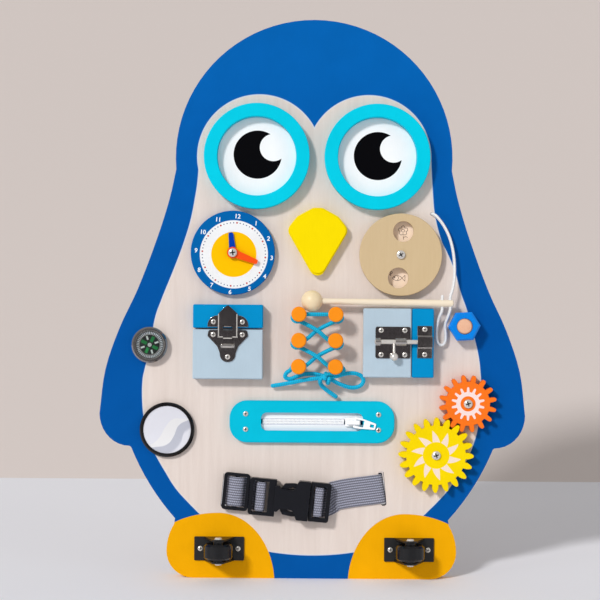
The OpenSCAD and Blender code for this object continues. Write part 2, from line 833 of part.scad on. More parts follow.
module latch_hasp() {
    half = hasp_w / 2;
    color("gray")
    on_board([latch_box_x, latch_split_z], hasp_pin_d - metal_t / 2)
        difference() {
            union() {
                linear_extrude(metal_t)
                    difference() {
                        polygon(rounded([[-half, -7.4], [half, -7.4], [half, 12.9],
                            [0, hasp_up], [-half, 12.9]], [0.4, 0.4, 0.8, 1.6, 0.8], 6));
                        polygon(rounded([[-4, -1.2], [4, -1.2], [4, 3.6], [-4, 3.6]], 0.4));
                    }
                linear_extrude(metal_t)
                    translate([-hasp_half, -hasp_pin_drop])
                        square([2 * hasp_half, hasp_pin_drop - 7]);
                // folded side rims
                for (side = [-1, 1])
                    translate([side * (half - 0.5) - 0.5, -7, 0])
                        cube([1, 19.6, metal_t + 1.1]);
                translate([0, -hasp_pin_drop, metal_t / 2])
                    rotate([0, 90, 0])
                        cylinder(r = hasp_barrel_r, h = 2 * hasp_half, center = true, $fn = 32);
            }
            translate([0, -hasp_pin_drop, metal_t / 2])
                rotate([0, 90, 0])
                    cylinder(r = hasp_pin_r + run_gap, h = 30, center = true, $fn = 32);
        }
}

module latch_pin() {
    color("silver")
    on_board([latch_box_x, latch_split_z - hasp_pin_drop], hasp_pin_d)
        rotate([0, 90, 0])
            cylinder(r = hasp_pin_r, h = 2 * (hasp_half + 0.3 + lug_w) + 0.4, center = true,
                $fn = 32);
}

module latch_door_screws() {
    color("silver")
    on_board([latch_box_x, latch_split_z], front_d + metal_t)
        at_spots(latch_door_spots)
            small_screw(8);
}

// ---- Concealed hinges: the pin lies along X, the door is towards +Y ----
knuckles = 5;
knuckle_w = hinge_len / knuckles;

module hinge_mortise() {
    translate([-hinge_len / 2 - 0.2, -1.2, -hinge_sheet - 0.2])
        cube([hinge_len + 0.4, hinge_leaf_w + 2.5, hinge_sheet + 0.3]);
}

// Room in a door's back for its leaf and, along its edge, for the knuckles
module hinge_rebate() {
    translate([-hinge_len / 2 - 0.2, 0, rest_gap - 0.1])
        cube([hinge_len + 0.4, hinge_r + hinge_leaf_w + 0.2, hinge_sheet + 0.2]);
    translate([-hinge_len / 2 - 0.2, -hinge_r - 1, 0])
        cube([hinge_len + 0.4, 2 * hinge_r + 1.3, hinge_d + hinge_r + 0.3]);
}

// Rounds a door's back edge about the pin, so that it swings clear of the board
module hinge_ease(w) {
    difference() {
        translate([-w / 2 - 1, -hinge_rise - 1, rest_gap - 1])
            cube([w + 2, hinge_rise + 1, hinge_d - rest_gap + 1]);
        translate([0, 0, hinge_d])
            rotate([0, 90, 0])
                cylinder(r = hinge_r, h = w + 4, center = true, $fn = 64);
    }
}

// The knuckles from the first-th on, every second one, with their webs down to z = low
module hinge_knuckles(first, web_low, web_y) {
    for (i = [first:2:knuckles - 1])
        translate([i * knuckle_w - hinge_len / 2 + 0.15, 0, 0]) {
            rotate([0, 90, 0])
                cylinder(r = hinge_r, h = knuckle_w - 0.3, $fn = 32);
            translate([0, web_y, web_low])
                cube([knuckle_w - 0.3, 2.2, -0.8 - web_low]);
        }
}

module hinge_bore() {
    rotate([0, 90, 0])
        cylinder(r = hinge_pin_r + run_gap, h = hinge_len + 2, center = true, $fn = 32);
}

module hinge_fixed_leaf() {
    low = -hinge_d - hinge_sheet - 0.1;
    difference() {
        union() {
            translate([-hinge_len / 2, -1, low])
                cube([hinge_len, hinge_leaf_w + 2, hinge_sheet]);
            hinge_knuckles(0, low, -1);
        }
        hinge_bore();
    }
}

module hinge_door_leaf() {
    low = -hinge_r;
    difference() {
        union() {
            translate([-hinge_len / 2, hinge_r + 0.2, low])
                cube([hinge_len, hinge_leaf_w - 0.2, hinge_sheet]);
            hinge_knuckles(1, low, 0.2);
        }
        hinge_bore();
    }
}

module hinge_pin() {
    rotate([0, 90, 0])
        cylinder(r = hinge_pin_r, h = hinge_len, center = true, $fn = 32);
}

module on_latch_hinge() {
    on_board([latch_box_x, latch_door_low + hinge_rise], hinge_d)
        children();
}

module latch_hinge_fixed() {
    color("silver")
    on_latch_hinge()
        hinge_fixed_leaf();
}

module latch_hinge_leaf() {
    color("silver")
    on_latch_hinge()
        hinge_door_leaf();
}

module latch_hinge_pin() {
    color("silver")
    on_latch_hinge()
        hinge_pin();
}

// ---- Right box with its barrel bolt ----
module bolt_door() {
    color("lightsteelblue")
    difference() {
        on_board([bolt_box_x + bolt_door_w / 2, bolt_box_mid], rest_gap)
            slab(bolt_door_w, bolt_box_h, block_t, 1.2, 0.8);
        for_front_screws()
            small_hole(9);
        on_board([bolt_box_x + hinge_rise, bolt_box_mid], 0, -90) {
            hinge_rebate();
            hinge_ease(bolt_box_h);
        }
    }
}

module bolt_block() {
    color("deepskyblue")
    difference() {
        on_board([bolt_block_x + bolt_block_w / 2, bolt_box_mid])
            slab(bolt_block_w, bolt_box_h, block_t, 1.2, 0.8);
        for_front_screws()
            small_hole(10);
    }
}

module bolt_hinge() {
    color("silver")
    on_board([bolt_box_x + hinge_rise, bolt_box_mid], hinge_d, -90) {
        hinge_fixed_leaf();
        hinge_door_leaf();
        hinge_pin();
    }
}

// A strap formed over the rod, drawn in section and w long
module rod_strap(w) {
    axis_h = bolt_rod_d - front_d;
    rotate([90, 0, 90])
        linear_extrude(w, center = true)
            difference() {
                union() {
                    translate([0, axis_h])
                        circle(r = bolt_rod_r + 1.4, $fn = 40);
                    translate([-bolt_rod_r - 1.4, 0.2])
                        square([2 * bolt_rod_r + 2.8, axis_h - 0.2]);
                }
                translate([0, axis_h])
                    circle(r = bolt_rod_r + 0.15, $fn = 40);
            }
}

module bolt_back_plate() {
    color("dimgray")
    difference() {
        on_board([bolt_plate_x, bolt_rod_z], front_d)
            union() {
                translate([0, -0.6, 0])
                    linear_extrude(metal_t)
                        polygon(rounded(box_points(bolt_plate[0], bolt_plate[1]), 1.8));
                translate([-bolt_plate[0] / 2 + 2.1, 0, 0])
                    rod_strap(4.2);
                translate([6.6, 0, 0])
                    rod_strap(9.2);
            }
        for_front_screws()
            small_hole(3);
    }
}

module bolt_rod() {
    color("silver")
    on_board([0, bolt_rod_z], bolt_rod_d) {
        rod_x = bolt_plate_x - bolt_plate[0] / 2 - 0.6;
        rod_end = keeper_x + 1.8;
        translate([rod_x, 0, 0])
            rotate([0, 90, 0])
                rotate_extrude($fn = 40)
                    polygon([[0, 0], [bolt_rod_r - 0.4, 0], [bolt_rod_r, 0.4],
                        [bolt_rod_r, rod_end - rod_x - 0.8], [bolt_rod_r - 0.8, rod_end - rod_x],
                        [0, rod_end - rod_x]]);
        // the turned-down handle: a thin stem and a round knob
        translate([bolt_knob_x, 0, 0])
            rotate([90 - 12, 0, 0]) {
                cylinder(r = 1, h = 12, $fn = 24);
                translate([0, 0, 13])
                    sphere(r = 3.5, $fn = 40);
            }
    }
}

module bolt_keeper() {
    half = keeper_size[1] / 2;
    top = bolt_rod_d + bolt_rod_r + rest_gap + metal_t - block_t;
    color("dimgray")
    difference() {
        on_board([keeper_x, bolt_rod_z], block_t)
            rotate([90, 0, 90])
                linear_extrude(keeper_size[0], center = true)
                    polygon([[-half, 0], [-4.4, 0], [-3.6, top - metal_t], [3.6, top - metal_t],
                        [4.4, 0], [half, 0], [half, metal_t], [5.4, metal_t], [4.6, top],
                        [-4.6, top], [-5.4, metal_t], [-half, metal_t]]);
        for_front_screws()
            small_hole(3);
    }
}

module front_screws() {
    color("silver")
    for_front_screws()
        small_screw(8);
}

module back_screws() {
    color("silver") {
        for_peg_screws()
            small_screw(wood_screw_len - 1);
        for_clamp_screws()
            small_screw(clamp_screw_len);
        cheek_screws()
            small_screw(wood_screw_len - 1);
    }
}

// ---- Lacing pegs and lace ----
module lacing_pegs() {
    neck = peg_len - peg_head_t;
    color("orange")
    difference() {
        for (x = peg_xs, z = peg_zs)
            on_board([x, z])
                difference() {
                    rotate_extrude($fn = 48)
                        polygon(concat([[0, 0], [peg_post_r, 0], [peg_post_r, neck]],
                            arc(peg_head_r - 1, neck + 1, 1, -90, 0, 3),
                            arc(peg_head_r - 1.4, peg_len - 1.4, 1.4, 0, 90, 4),
                            [[0, peg_len]]));
                    translate([0, 0, peg_eye_d])
                        rotate([0, 90, 0])
                            cylinder(r = peg_eye_r, h = 20, center = true, $fn = 32);
                }
        for_peg_screws()
            small_hole(wood_screw_len);
    }
}

function board_point(p) = [p[0], -p[2] * cos(lean) + p[1] * sin(lean),
    p[1] * cos(lean) + p[2] * sin(lean)];

// The points of one bend: side is -1 at a left peg and 1 at a right one
function wrap(side, row, back) =
    let (x = side < 0 ? peg_xs[0] : peg_xs[1],
         p = [for (w = LACE_WRAP) [x - side * w[0], peg_zs[row] + w[1], peg_eye_d + w[2]]])
    back ? [for (i = [len(p) - 1:-1:0]) p[i]] : p;
// The middle of the strand between two pegs, off the board by d
function cross(row, d) = [[peg_mid_x, (peg_zs[row] + peg_zs[row + 1]) / 2 - 2.6, d]];

function eye_point(side, row, inner) =
    [(side < 0 ? peg_xs[0] : peg_xs[1]) - side * inner, peg_zs[row], peg_eye_d];

lace_route = concat(LACE_START,
    [eye_point(-1, 0, -4.6), eye_point(-1, 0, 0), eye_point(-1, 0, 5)], cross(0, 11.2),
    wrap(1, 1, true), [eye_point(1, 1, 0), eye_point(1, 1, 5)], cross(1, 11.2),
    wrap(-1, 2, true), [eye_point(-1, 2, 0), eye_point(-1, 2, 6), eye_point(1, 2, 6),
        eye_point(1, 2, 0)],
    wrap(1, 2, false), cross(1, 15), [eye_point(-1, 1, 5), eye_point(-1, 1, 0)],
    wrap(-1, 1, false), cross(0, 15), [eye_point(1, 0, 5), eye_point(1, 0, 0),
        eye_point(1, 0, -4.6)], LACE_END);

// A round cord swept along points of the board's own frame
module cord_tube(route, diameter, sides) {
    path = [for (p = route) board_point(p)];
    last = len(path) - 1;
    tangents = [for (i = [0:last]) unit(path[min(i + 1, last)] - path[max(i - 1, 0)])];
    frames = frame_walk(tangents, unit(cross_up(tangents[0])), 0);
    points = [for (i = [0:last], k = [0:sides - 1])
        let (n = frames[i], b = cross3(tangents[i], n), a = 360 * k / sides)
        path[i] + diameter / 2 * (n * cos(a) + b * sin(a))];
    faces = concat([[for (k = [sides - 1:-1:0]) k]],
        [for (i = [0:last - 1], k = [0:sides - 1])
            [i * sides + k, i * sides + (k + 1) % sides,
             (i + 1) * sides + (k + 1) % sides, (i + 1) * sides + k]],
        [[for (k = [0:sides - 1]) last * sides + k]]);
    polyhedron(points = points, faces = faces);
}

function cross3(a, b) = [a[1] * b[2] - a[2] * b[1], a[2] * b[0] - a[0] * b[2],
    a[0] * b[1] - a[1] * b[0]];
function cross_up(t) = cross3(t, abs(t[2]) < 0.9 ? [0, 0, 1] : [1, 0, 0]);
// Carries the first normal along the tangents without twist
function frame_walk(t, n, i) =
    i == len(t) ? [] : let (m = unit(n - t[i] * (n * t[i]))) concat([m], frame_walk(t, m, i + 1));

module lace() {
    color("deepskyblue")
    cord_tube(lace_route, lace_d, 8);
}

// ---- Mallet ----
mallet_turn = -0.6;

module on_mallet() {
    on_board(ball_at, mallet_off, mallet_turn)
        children();
}

module mallet_stick() {
    start = ball_r - 3;
    color("bisque")
    on_mallet()
        difference() {
            rotate([0, 90, 0])
                rotate_extrude($fn = 48)
                    polygon([[0, start], [stick_r0, start], [stick_r1, mallet_len - 0.8],
                        [stick_r1 - 0.8, mallet_len], [0, mallet_len]]);
            for (x = stick_holes)
                translate([x, 0, 0])
                    rotate([90, 0, 0])
                        cylinder(r = cord_hole_r, h = 20, center = true, $fn = 32);
        }
}

module mallet_ball() {
    color("wheat")
    on_mallet()
        difference() {
            sphere(r = ball_r, $fn = 64);
            rotate([0, 90, 0])
                translate([0, 0, ball_r - 3.2])
                    cylinder(r1 = stick_r0 + set_gap, r2 = stick_r0 + set_gap + 0.1, h = 8,
                        $fn = 48);
        }
}

module mallet_cord() {
    color("white")
    cord_tube(CORD_ROUTE, cord_d, 8);
}

// ---- Wooden bolt and nut ----
module wooden_bolt() {
    turns = floor((stud_len - 1) / thread_pitch);
    depth = 0.9;
    first = stud_len - turns * thread_pitch - 0.6;
    color("navajowhite")
    on_board(stud_at)
        rotate_extrude($fn = 64)
            polygon(concat([[0, -board_t + 1], [stud_root_r, -board_t + 1], [stud_root_r, 0],
                [stud_r - depth, 0]],
                [for (i = [0:turns - 1], s = [[0.1, depth], [0.5, 0], [0.6, 0], [1, depth]])
                    [stud_r - s[1], first + (i + s[0]) * thread_pitch]],
                [[0, stud_len]]));
}

nut_ease = 1.6;                         // height of the nut's chamfered front edges
nut_turn = 3;

// The six chamfers round the nut's front, each a wedge that leans inwards
module nut_face() {
    flat = nut_r * cos(30);
    intersection_for(i = [0:5])
        rotate([0, 0, 30 + 60 * i])
            rotate([90, 0, 0])
                linear_extrude(4 * nut_r, center = true)
                    polygon([[-2 * nut_r, 0], [flat, 0], [flat, nut_t - nut_ease],
                        [flat - nut_ease, nut_t], [-2 * nut_r, nut_t]]);
}

module hex_nut() {
    color("dodgerblue")
    on_board(stud_at, nut_off, nut_turn)
        difference() {
            intersection() {
                cylinder(r = nut_r, h = nut_t, $fn = 6);
                rotate_extrude($fn = 96)
                    polygon([[0, 0], [nut_r - 1.4, 0], [nut_r, 1.2], [nut_r, nut_t - 1.2],
                        [nut_r - 1.4, nut_t], [0, nut_t]]);
                nut_face();
            }
            translate([0, 0, -1])
                cylinder(r = stud_r + 0.35, h = nut_t + 2);
        }
}

// ---- Zip ----
tape_d = [0.5, 1.1];                    // back and front of the tape off the board
chain_half = 2.4;                       // half the width of the closed teeth

module zip_plate_piece() {
    color("darkturquoise")
    difference() {
        on_board(zip_at)
            difference() {
                for (ease = [0, 0.6])
                    linear_extrude(zip_t - 0.6 + ease)
                        polygon(rounded(box_points(zip_plate[0] - 2 * ease,
                            zip_plate[1] - 2 * ease), 15 - ease, 10));
                translate([0, 0, -1])
                    linear_extrude(zip_t + 2)
                        polygon(rounded(box_points(zip_slot[0], zip_slot[1]), 5, 6));
                // rebate behind the slot for the tape
                translate([0, 0, -1])
                    linear_extrude(tape_d[1] + 1.1)
                        square([zip_slot[0] + 11, 26], center = true);
            }
        for_front_screws()
            small_hole(8);
    }
}

module zip_tape() {
    color("white")
    on_board(zip_at, tape_d[0])
        for (side = [-1, 1])
            translate([-zip_slot[0] / 2 - 5, side > 0 ? chain_half + 0.1 : -12.6, 0])
                cube([zip_slot[0] + 10, 12.5 - chain_half, tape_d[1] - tape_d[0]]);
}

module zip_teeth() {
    count = floor((slider_x - slider_len / 2 + zip_slot[0] / 2) / tooth_pitch);
    tooth = [tooth_pitch / 2 - 0.15, chain_half + 0.6, 1.8];
    color("whitesmoke")
    on_board(zip_at, -0.1)
        for (i = [0:count - 1], side = [0, 1])
            translate([-zip_slot[0] / 2 + 1 + (i + side / 2) * tooth_pitch,
                side > 0 ? -0.6 : -chain_half, 0])
                cube(tooth);
}

module zip_slider() {
    half = slider_len / 2;
    plate = rounded([[-half, -slider_w / 2 + 0.6], [half - 2, -slider_w / 2],
        [half, -slider_w / 4], [half, slider_w / 4], [half - 2, slider_w / 2],
        [-half, slider_w / 2 - 0.6]], [0.8, 1.5, 1, 1, 1.5, 0.8], 4);
    color("gainsboro")
    on_board(zip_at + [slider_x, 0])
        union() {
            translate([0, 0, -2])
                linear_extrude(1.3)
                    polygon(plate);
            translate([0, 0, 2.2])
                linear_extrude(1.3)
                    polygon(plate);
            translate([half - 2.2, 0, -1])
                cylinder(r = 1.3, h = 4, $fn = 24);
            // the bridge that holds the pull tab
            rotate([90, 0, 0])
                linear_extrude(3.4, center = true)
                    polygon(rounded([[-half + 1, 3], [-half + 2.4, 3], [-half + 3.4, 7.3],
                        [half - 1.9, 7.3], [half - 1.9, 3], [half - 0.4, 3], [half - 0.4, 8.6],
                        [-half + 2, 8.6]], [0, 0, 0.4, 0.4, 0, 0, 1.2, 1.2], 4));
        }
}

module on_pull() {
    on_board(zip_at + [slider_x + pull_pivot[0], 0], pull_pivot[1], -12)
        children();
}

module zip_pull() {
    color("gainsboro")
    on_pull()
        union() {
            translate([0, 0, -0.6])
                linear_extrude(1.2)
                    difference() {
                        polygon(rounded([[-1, -4.6], [4, -4.6], [pull_len - 2, -2.6],
                            [pull_len - 2, 2.6], [4, 4.6], [-1, 4.6]],
                            [1, 3, 1, 1, 3, 1], 4));
                        polygon(rounded([[0.7, -2.9], [7.6, -2.9], [7.6, 2.9], [0.7, 2.9]], 0.5));
                        translate([pull_len - 5.2, 0])
                            square([3.4, 2.6], center = true);
                    }
            rotate([90, 0, 0])
                cylinder(r = 0.8, h = 8, center = true, $fn = 24);
        }
}

// ---- Compass and mirror ----
card_d = 3.6;

module compass_case() {
    lip = compass_r - 2.6;
    color("darkslategray")
    on_board(compass_at)
        rotate_extrude($fn = 96)
            polygon([[0, 0], [compass_r, 0], [compass_r, compass_t - 1.2],
                [compass_r - 1.2, compass_t], [lip, compass_t], [lip, compass_t - 1.6],
                [lip - 1, compass_t - 1.6], [lip - 1, card_d + 0.8], [card_r + 0.6, card_d + 0.8],
                [card_r + 0.6, 1.5], [0.8, 1.5], [0.5, card_d - 0.4], [0, card_d - 0.2]]);
}

module compass_card() {
    color("black")
    on_board(compass_at, card_d)
        disc(card_r, 0.7, 0.1);
}

module compass_lens() {
    color("lightcyan", 0.4)
    on_board(compass_at, compass_t - 1.6)
        disc(compass_r - 2.6 - set_gap, 1.3, 0.3);
}

module mirror_rim_piece() {
    inner = mirror_r - mirror_rim;
    color("black")
    on_board(mirror_at)
        rotate_extrude($fn = 96)
            polygon([[0, 0], [mirror_r, 0], [mirror_r, mirror_t - 1.2],
                [mirror_r - 1.2, mirror_t], [inner + 0.4, mirror_t], [inner, mirror_t - 0.4],
                [inner, 1.5], [0, 1.5]]);
}

module mirror_glass() {
    color("lightgray")
    on_board(mirror_at, 1.5)
        disc(mirror_r - mirror_rim - set_gap, 2, 0.3);
}

// ---- Gears: involute teeth, with the large gear's profile shifted outwards ----
pressure_angle = 20;
function involute(a) = tan(a) * 180 / PI - a;
// Half the angle that a tooth takes up at radius r
function half_tooth(teeth, shift, r, backlash) =
    let (pitch_r = gear_module * teeth / 2,
         half = 90 / teeth + 360 / PI * shift * tan(pressure_angle) / teeth
            - backlash / pitch_r * 90 / PI,
         ratio = min(1, pitch_r * cos(pressure_angle) / r))
    half + involute(pressure_angle) - involute(acos(ratio));

function gear_outline(teeth, shift, r_tip, r_root, root_half, phase) =
    let (r_low = max(r_root + 1.2, gear_module * teeth / 2 * cos(pressure_angle)),
         flank = concat([[r_root, root_half]],
            [for (k = [0:4]) let (r = r_low + (r_tip - 0.5 - r_low) * k / 4)
                [r, half_tooth(teeth, shift, r, 0.35)]],
            [[r_tip, half_tooth(teeth, shift, r_tip, 0.35) - 0.9]]))
    [for (i = [0:teeth - 1], side = [-1, 1], k = [0:len(flank) - 1])
        let (f = flank[side < 0 ? k : len(flank) - 1 - k],
             a = phase + 360 * i / teeth + side * f[1])
        f[0] * [cos(a), sin(a)]];

// The teeth are in mesh 3.3 degrees past the line between the centres
mesh_turn = 3.3;
large_phase = gear_line + mesh_turn + 180 / teeth_large;
small_phase = gear_line + 180 - mesh_turn * teeth_large / teeth_small;

module gear(at, outline) {
    on_board(at, gear_off)
        difference() {
            linear_extrude(gear_t)
                polygon(outline);
            translate([0, 0, -1])
                cylinder(r = hub_r + run_gap, h = gear_t + 2);
        }
}

module gear_large() {
    pitch_r = gear_module * teeth_large / 2;
    color("yellow")
    gear(gear_at, gear_outline(teeth_large, gear_shift, pitch_r + 3.4, pitch_r - 3.4, 6,
        large_phase));
}

module gear_small() {
    pitch_r = gear_module * teeth_small / 2;
    color("orangered")
    gear(gear_small_at, gear_outline(teeth_small, -gear_shift, pitch_r + 1.5, pitch_r - 4.2, 6.4,
        small_phase));
}

// ---- Strap: u runs along the strap, and the section is drawn in u and d ----
// A ribbon of the webbing's thickness along a line in the section
module ribbon(line) {
    last = len(line) - 1;
    side = [for (i = [0:last])
        let (t = unit(line[min(i + 1, last)] - line[max(i - 1, 0)])) web_t / 2 * [-t[1], t[0]]];
    rotate([90, 0, 0])
        linear_extrude(web_w, center = true)
            polygon(concat([for (i = [0:last]) line[i] + side[i]],
                [for (i = [last:-1:0]) line[i] - side[i]]));
}

glide_d = 3.6;                          // back of the tri-glide
glide_t = 3;
tail_d = -board_t - web_t / 2 - 0.25;

// Through the board, over the tri-glide's bar, then over the buckle's bar
module webbing_left() {
    from_slot = slot_left[0] - glide_at[0];
    color("slategray")
    union() {
        on_board(glide_at, 0, strap_tilt)
            ribbon(spline([[from_slot + 20, tail_d], [from_slot + 4, tail_d],
                [from_slot + 1.2, tail_d + 0.4], [from_slot, tail_d + 2], [from_slot, -1.5], [from_slot + 1.2, 0.8],
                [-7.6, 1.8], [-5.4, 5.2], [-2.6, 6.8], [2.6, 6.8], [5.4, 5.2], [7.2, 1.8],
                [13, 1.3]], 3));
        on_board(buckle_at, 0, strap_tilt)
            mirror([1, 0, 0])
                translate([bar_u, 0, 0])
                    bar_ribbon(13.5);
    }
}

// Over the buckle's bar and round it, then under the frame's end and off to reach
module bar_ribbon(reach) {
    ribbon(spline([[1, bar_d - 1.1], [-2.4, bar_d - 1.1], [-3.6, bar_d + 1.2],
        [-2.4, bar_d + 3.5], [0, bar_d + 3.7], [2.4, bar_d + 3.5], [3.6, bar_d + 1.2],
        [4.2, bar_d - 2.2], [6.6, 1.5], [reach, 1.4]], 3));
}

module webbing_right() {
    color("slategray")
    union() {
        on_board(right_at, 0, strap_tilt)
            bar_ribbon(11);
        on_board(right_from, 0, right_turn)
            ribbon(spline([[6.5, 1.3], [right_span - 4, 1.2], [right_span - 1.2, 0.6],
                [right_span, -1.5], [right_span, tail_d + 2], [right_span - 1.2, tail_d + 0.4],
                [right_span - 4, tail_d], [right_span - 19, tail_d]], 3));
    }
}

module tri_glide() {
    color("black")
    on_board(glide_at, glide_d, strap_tilt)
        union() {
            linear_extrude(glide_t)
                difference() {
                    polygon(rounded(box_points(glide_size[0], glide_size[1]), 3));
                    square([glide_size[0] - 6, glide_size[1] - 5.4], center = true);
                }
            translate([-1.8, 2 - glide_size[1] / 2, 0])
                cube([3.6, glide_size[1] - 4, 1.9]);
        }
}

// Half of a buckle's plan: the webbing frame with its bar
module webbing_frame(from, to, h, t, open_end) {
    window = [from + 3, to - open_end];
    difference() {
        linear_extrude(t)
            polygon(rounded([[from, -h / 2], [to, -h / 2], [to, h / 2], [from, h / 2]],
                [2.5, 0.5, 0.5, 2.5]));
        translate([window[0], -13.4, -1])
            cube([window[1] - window[0], 26.8, t + 2]);
    }
}

module webbing_bar(at_u) {
    translate([at_u - 2, -13.6, 3])
        cube([4, 27.2, 2.6]);
}

module buckle_female() {
    half = buckle_len / 2;
    h = buckle_h / 2;
    body = rounded([[-13, -h + 1.5], [-8, -8.6], [3.5, -8.6], [7, -h], [seam_u, -h],
        [seam_u, h], [7, h], [3.5, 8.6], [-8, 8.6], [-13, h - 1.5]],
        [2, 3, 3, 2, 0.5, 0.5, 2, 3, 3, 2], 5);
    color("black")
    on_board(buckle_at, buckle_d, strap_tilt)
        difference() {
            union() {
                webbing_frame(-half, -12, buckle_h - 2, 8, 6.5);
                webbing_bar(-bar_u);
                linear_extrude(buckle_t)
                    polygon(body);
            }
            // the socket that the other half slides into
            translate([-10, 0.6 - h + 1.4, 2.2])
                cube([seam_u + 12, 2 * h - 4, buckle_t - 4.4]);
        }
}

module buckle_male() {
    half = buckle_len / 2;
    h = buckle_h / 2;
    arm = [2.6, h - 2.6];
    color("black")
    on_board(buckle_at, buckle_d, strap_tilt)
        union() {
            mirror([1, 0, 0])
                webbing_frame(-half, -seam_u - rest_gap, buckle_h, 8, 3);
            webbing_bar(bar_u);
            // tongue and the two sprung arms inside the socket
            translate([-6, -2.4, 3.2])
                cube([seam_u + 9, 4.8, 3.6]);
            for (side = [-1, 1])
                scale([1, side, 1])
                    translate([0, 0, 2.8])
                        linear_extrude(4.6)
                            polygon(rounded([[-8, 9], [-5, h - 3.4], [3, h - 2.6],
                                [seam_u + 2, h - 4.4], [seam_u + 2, h - 7.6], [2, h - 6.2],
                                [-4, 8]], [1, 2, 1.5, 0, 0, 2, 1], 4));
        }
}

module strap_clamps() {
    color("silver")
    difference() {
        for_clamps()
            difference() {
                translate([-6, -19, 0])
                    cube([12, 38, clamp_t]);
                translate([-7, -13.6, 1.4])
                    cube([14, 27.2, clamp_t]);
            }
        for_clamp_screws()
            small_hole(clamp_screw_len);
    }
}

// ---- Casters: their axles run up the board ----
module on_caster(x) {
    on_board([x, caster_z])
        children();
}

// A bracket's leg, seen along the axle: wide at the plate, round at the axle
module caster_leg() {
    rotate([90, 0, 0])
        linear_extrude(caster_leg_t, center = true)
            difference() {
                polygon(rounded([[-13.5, 0.1], [13.5, 0.1], [4.6, caster_off + 4.6],
                    [-4.6, caster_off + 4.6]], [0, 0, 3.4, 3.4], 6));
                translate([0, caster_off])
                    circle(r = axle_r + set_gap, $fn = 32);
            }
}

module caster_brackets() {
    color([0.12, 0.12, 0.13])
    difference() {
        for (x = caster_x)
            on_caster(x)
                union() {
                    linear_extrude(caster_leg_t)
                        polygon(rounded(box_points(caster_plate[0], caster_plate[1]), 0.8));
                    for (side = [-1, 1])
                        translate([0, side * (caster_plate[1] - caster_leg_t) / 2, 0])
                            caster_leg();
                }
        for_front_screws()
            small_hole(3);
    }
}

module caster_wheel(x) {
    hub_half = caster_gap / 2 - rest_gap;
    color([0.1, 0.1, 0.1])
    on_board([x, caster_z], caster_off)
        rotate([90, 0, 0])
            rotate_extrude($fn = 96)
                polygon([[axle_r + run_gap, -hub_half], [4.4, -hub_half], [4.4, -caster_w / 2],
                    [caster_r - 1.6, -caster_w / 2], [caster_r, 1.6 - caster_w / 2],
                    [caster_r, caster_w / 2 - 1.6], [caster_r - 1.6, caster_w / 2],
                    [4.4, caster_w / 2], [4.4, hub_half], [axle_r + run_gap, hub_half]]);
}

module caster_wheel_left() {
    caster_wheel(caster_x[0]);
}

module caster_wheel_right() {
    caster_wheel(caster_x[1]);
}

module caster_axles() {
    half = caster_plate[1] / 2;
    color("silver")
    for (x = caster_x)
        on_board([x, caster_z], caster_off)
            rotate([90, 0, 0])
                rotate_extrude($fn = 48)
                    polygon([[0, -half - 1.4], [2.6, -half - 1.4], [3.4, -half - 0.1],
                        [axle_r, -half - 0.1], [axle_r, half + 0.1], [3.4, half + 0.1],
                        [2.6, half + 1.4], [0, half + 1.4]]);
}

// ---- Folding leg behind the board ----
cheek_gap = 0.6;
cheek_x = leg_w / 2 + cheek_gap + cheek_t / 2;

module cheek_screws() {
    for (side = [-1, 1])
        on_board([side * cheek_x, pivot_z], -board_t - cheek_seat)
            mirror([0, 0, 1])
                at_spots(cheek_spots)
                    children();
}

module on_pivot() {
    on_board([0, pivot_z], -board_t - pivot_off)
        children();
}

module leg_cheeks() {
    color("burlywood")
    difference() {
        for (side = [-1, 1])
            on_board([side * cheek_x, pivot_z], -board_t)
                mirror([0, 0, 1])
                    rotate([90, 0, 90])
                        linear_extrude(cheek_t, center = true)
                            polygon(rounded([[-20, 0], [20, 0], [10, pivot_off + 8],
                                [-10, pivot_off + 8]], [0, 0, 7, 7], 6));
        on_pivot()
            rotate([0, 90, 0])
                cylinder(r = dowel_r + set_gap, h = leg_w * 3, center = true);
        cheek_screws() {
            small_hole(wood_screw_len);
            cylinder(r = small_head_r + 0.4, h = 20, $fn = 32);
        }
    }
}

module leg_dowel() {
    half = leg_w / 2 + cheek_gap + cheek_t;
    color("wheat")
    on_pivot()
        rotate([0, 90, 0])
            cylinder(r = dowel_r, h = 2 * half, center = true);
}

module stand_leg() {
    down = 320;
    up = (pivot_off - rest_gap - leg_t / 2 * cos(leg_turn)) / sin(leg_turn);
    color("burlywood")
    difference() {
        on_pivot()
            rotate([leg_turn, 0, 0])
                translate([0, 0, -leg_t / 2])
                    linear_extrude(leg_t)
                        polygon(rounded([[-leg_w / 2, up], [-leg_w / 2, -down * 0.35],
                            [-leg_w / 2 - 12, -down], [leg_w / 2 + 12, -down],
                            [leg_w / 2, -down * 0.35], [leg_w / 2, up]],
                            [4, 30, 0, 0, 30, 4], 4));
        on_pivot()
            rotate([0, 90, 0])
                cylinder(r = dowel_r + run_gap, h = leg_w * 3, center = true);
        // the foot is cut level with the floor
        translate([-leg_w, 0, -100])
            cube([2 * leg_w, 400, 100]);
    }
}

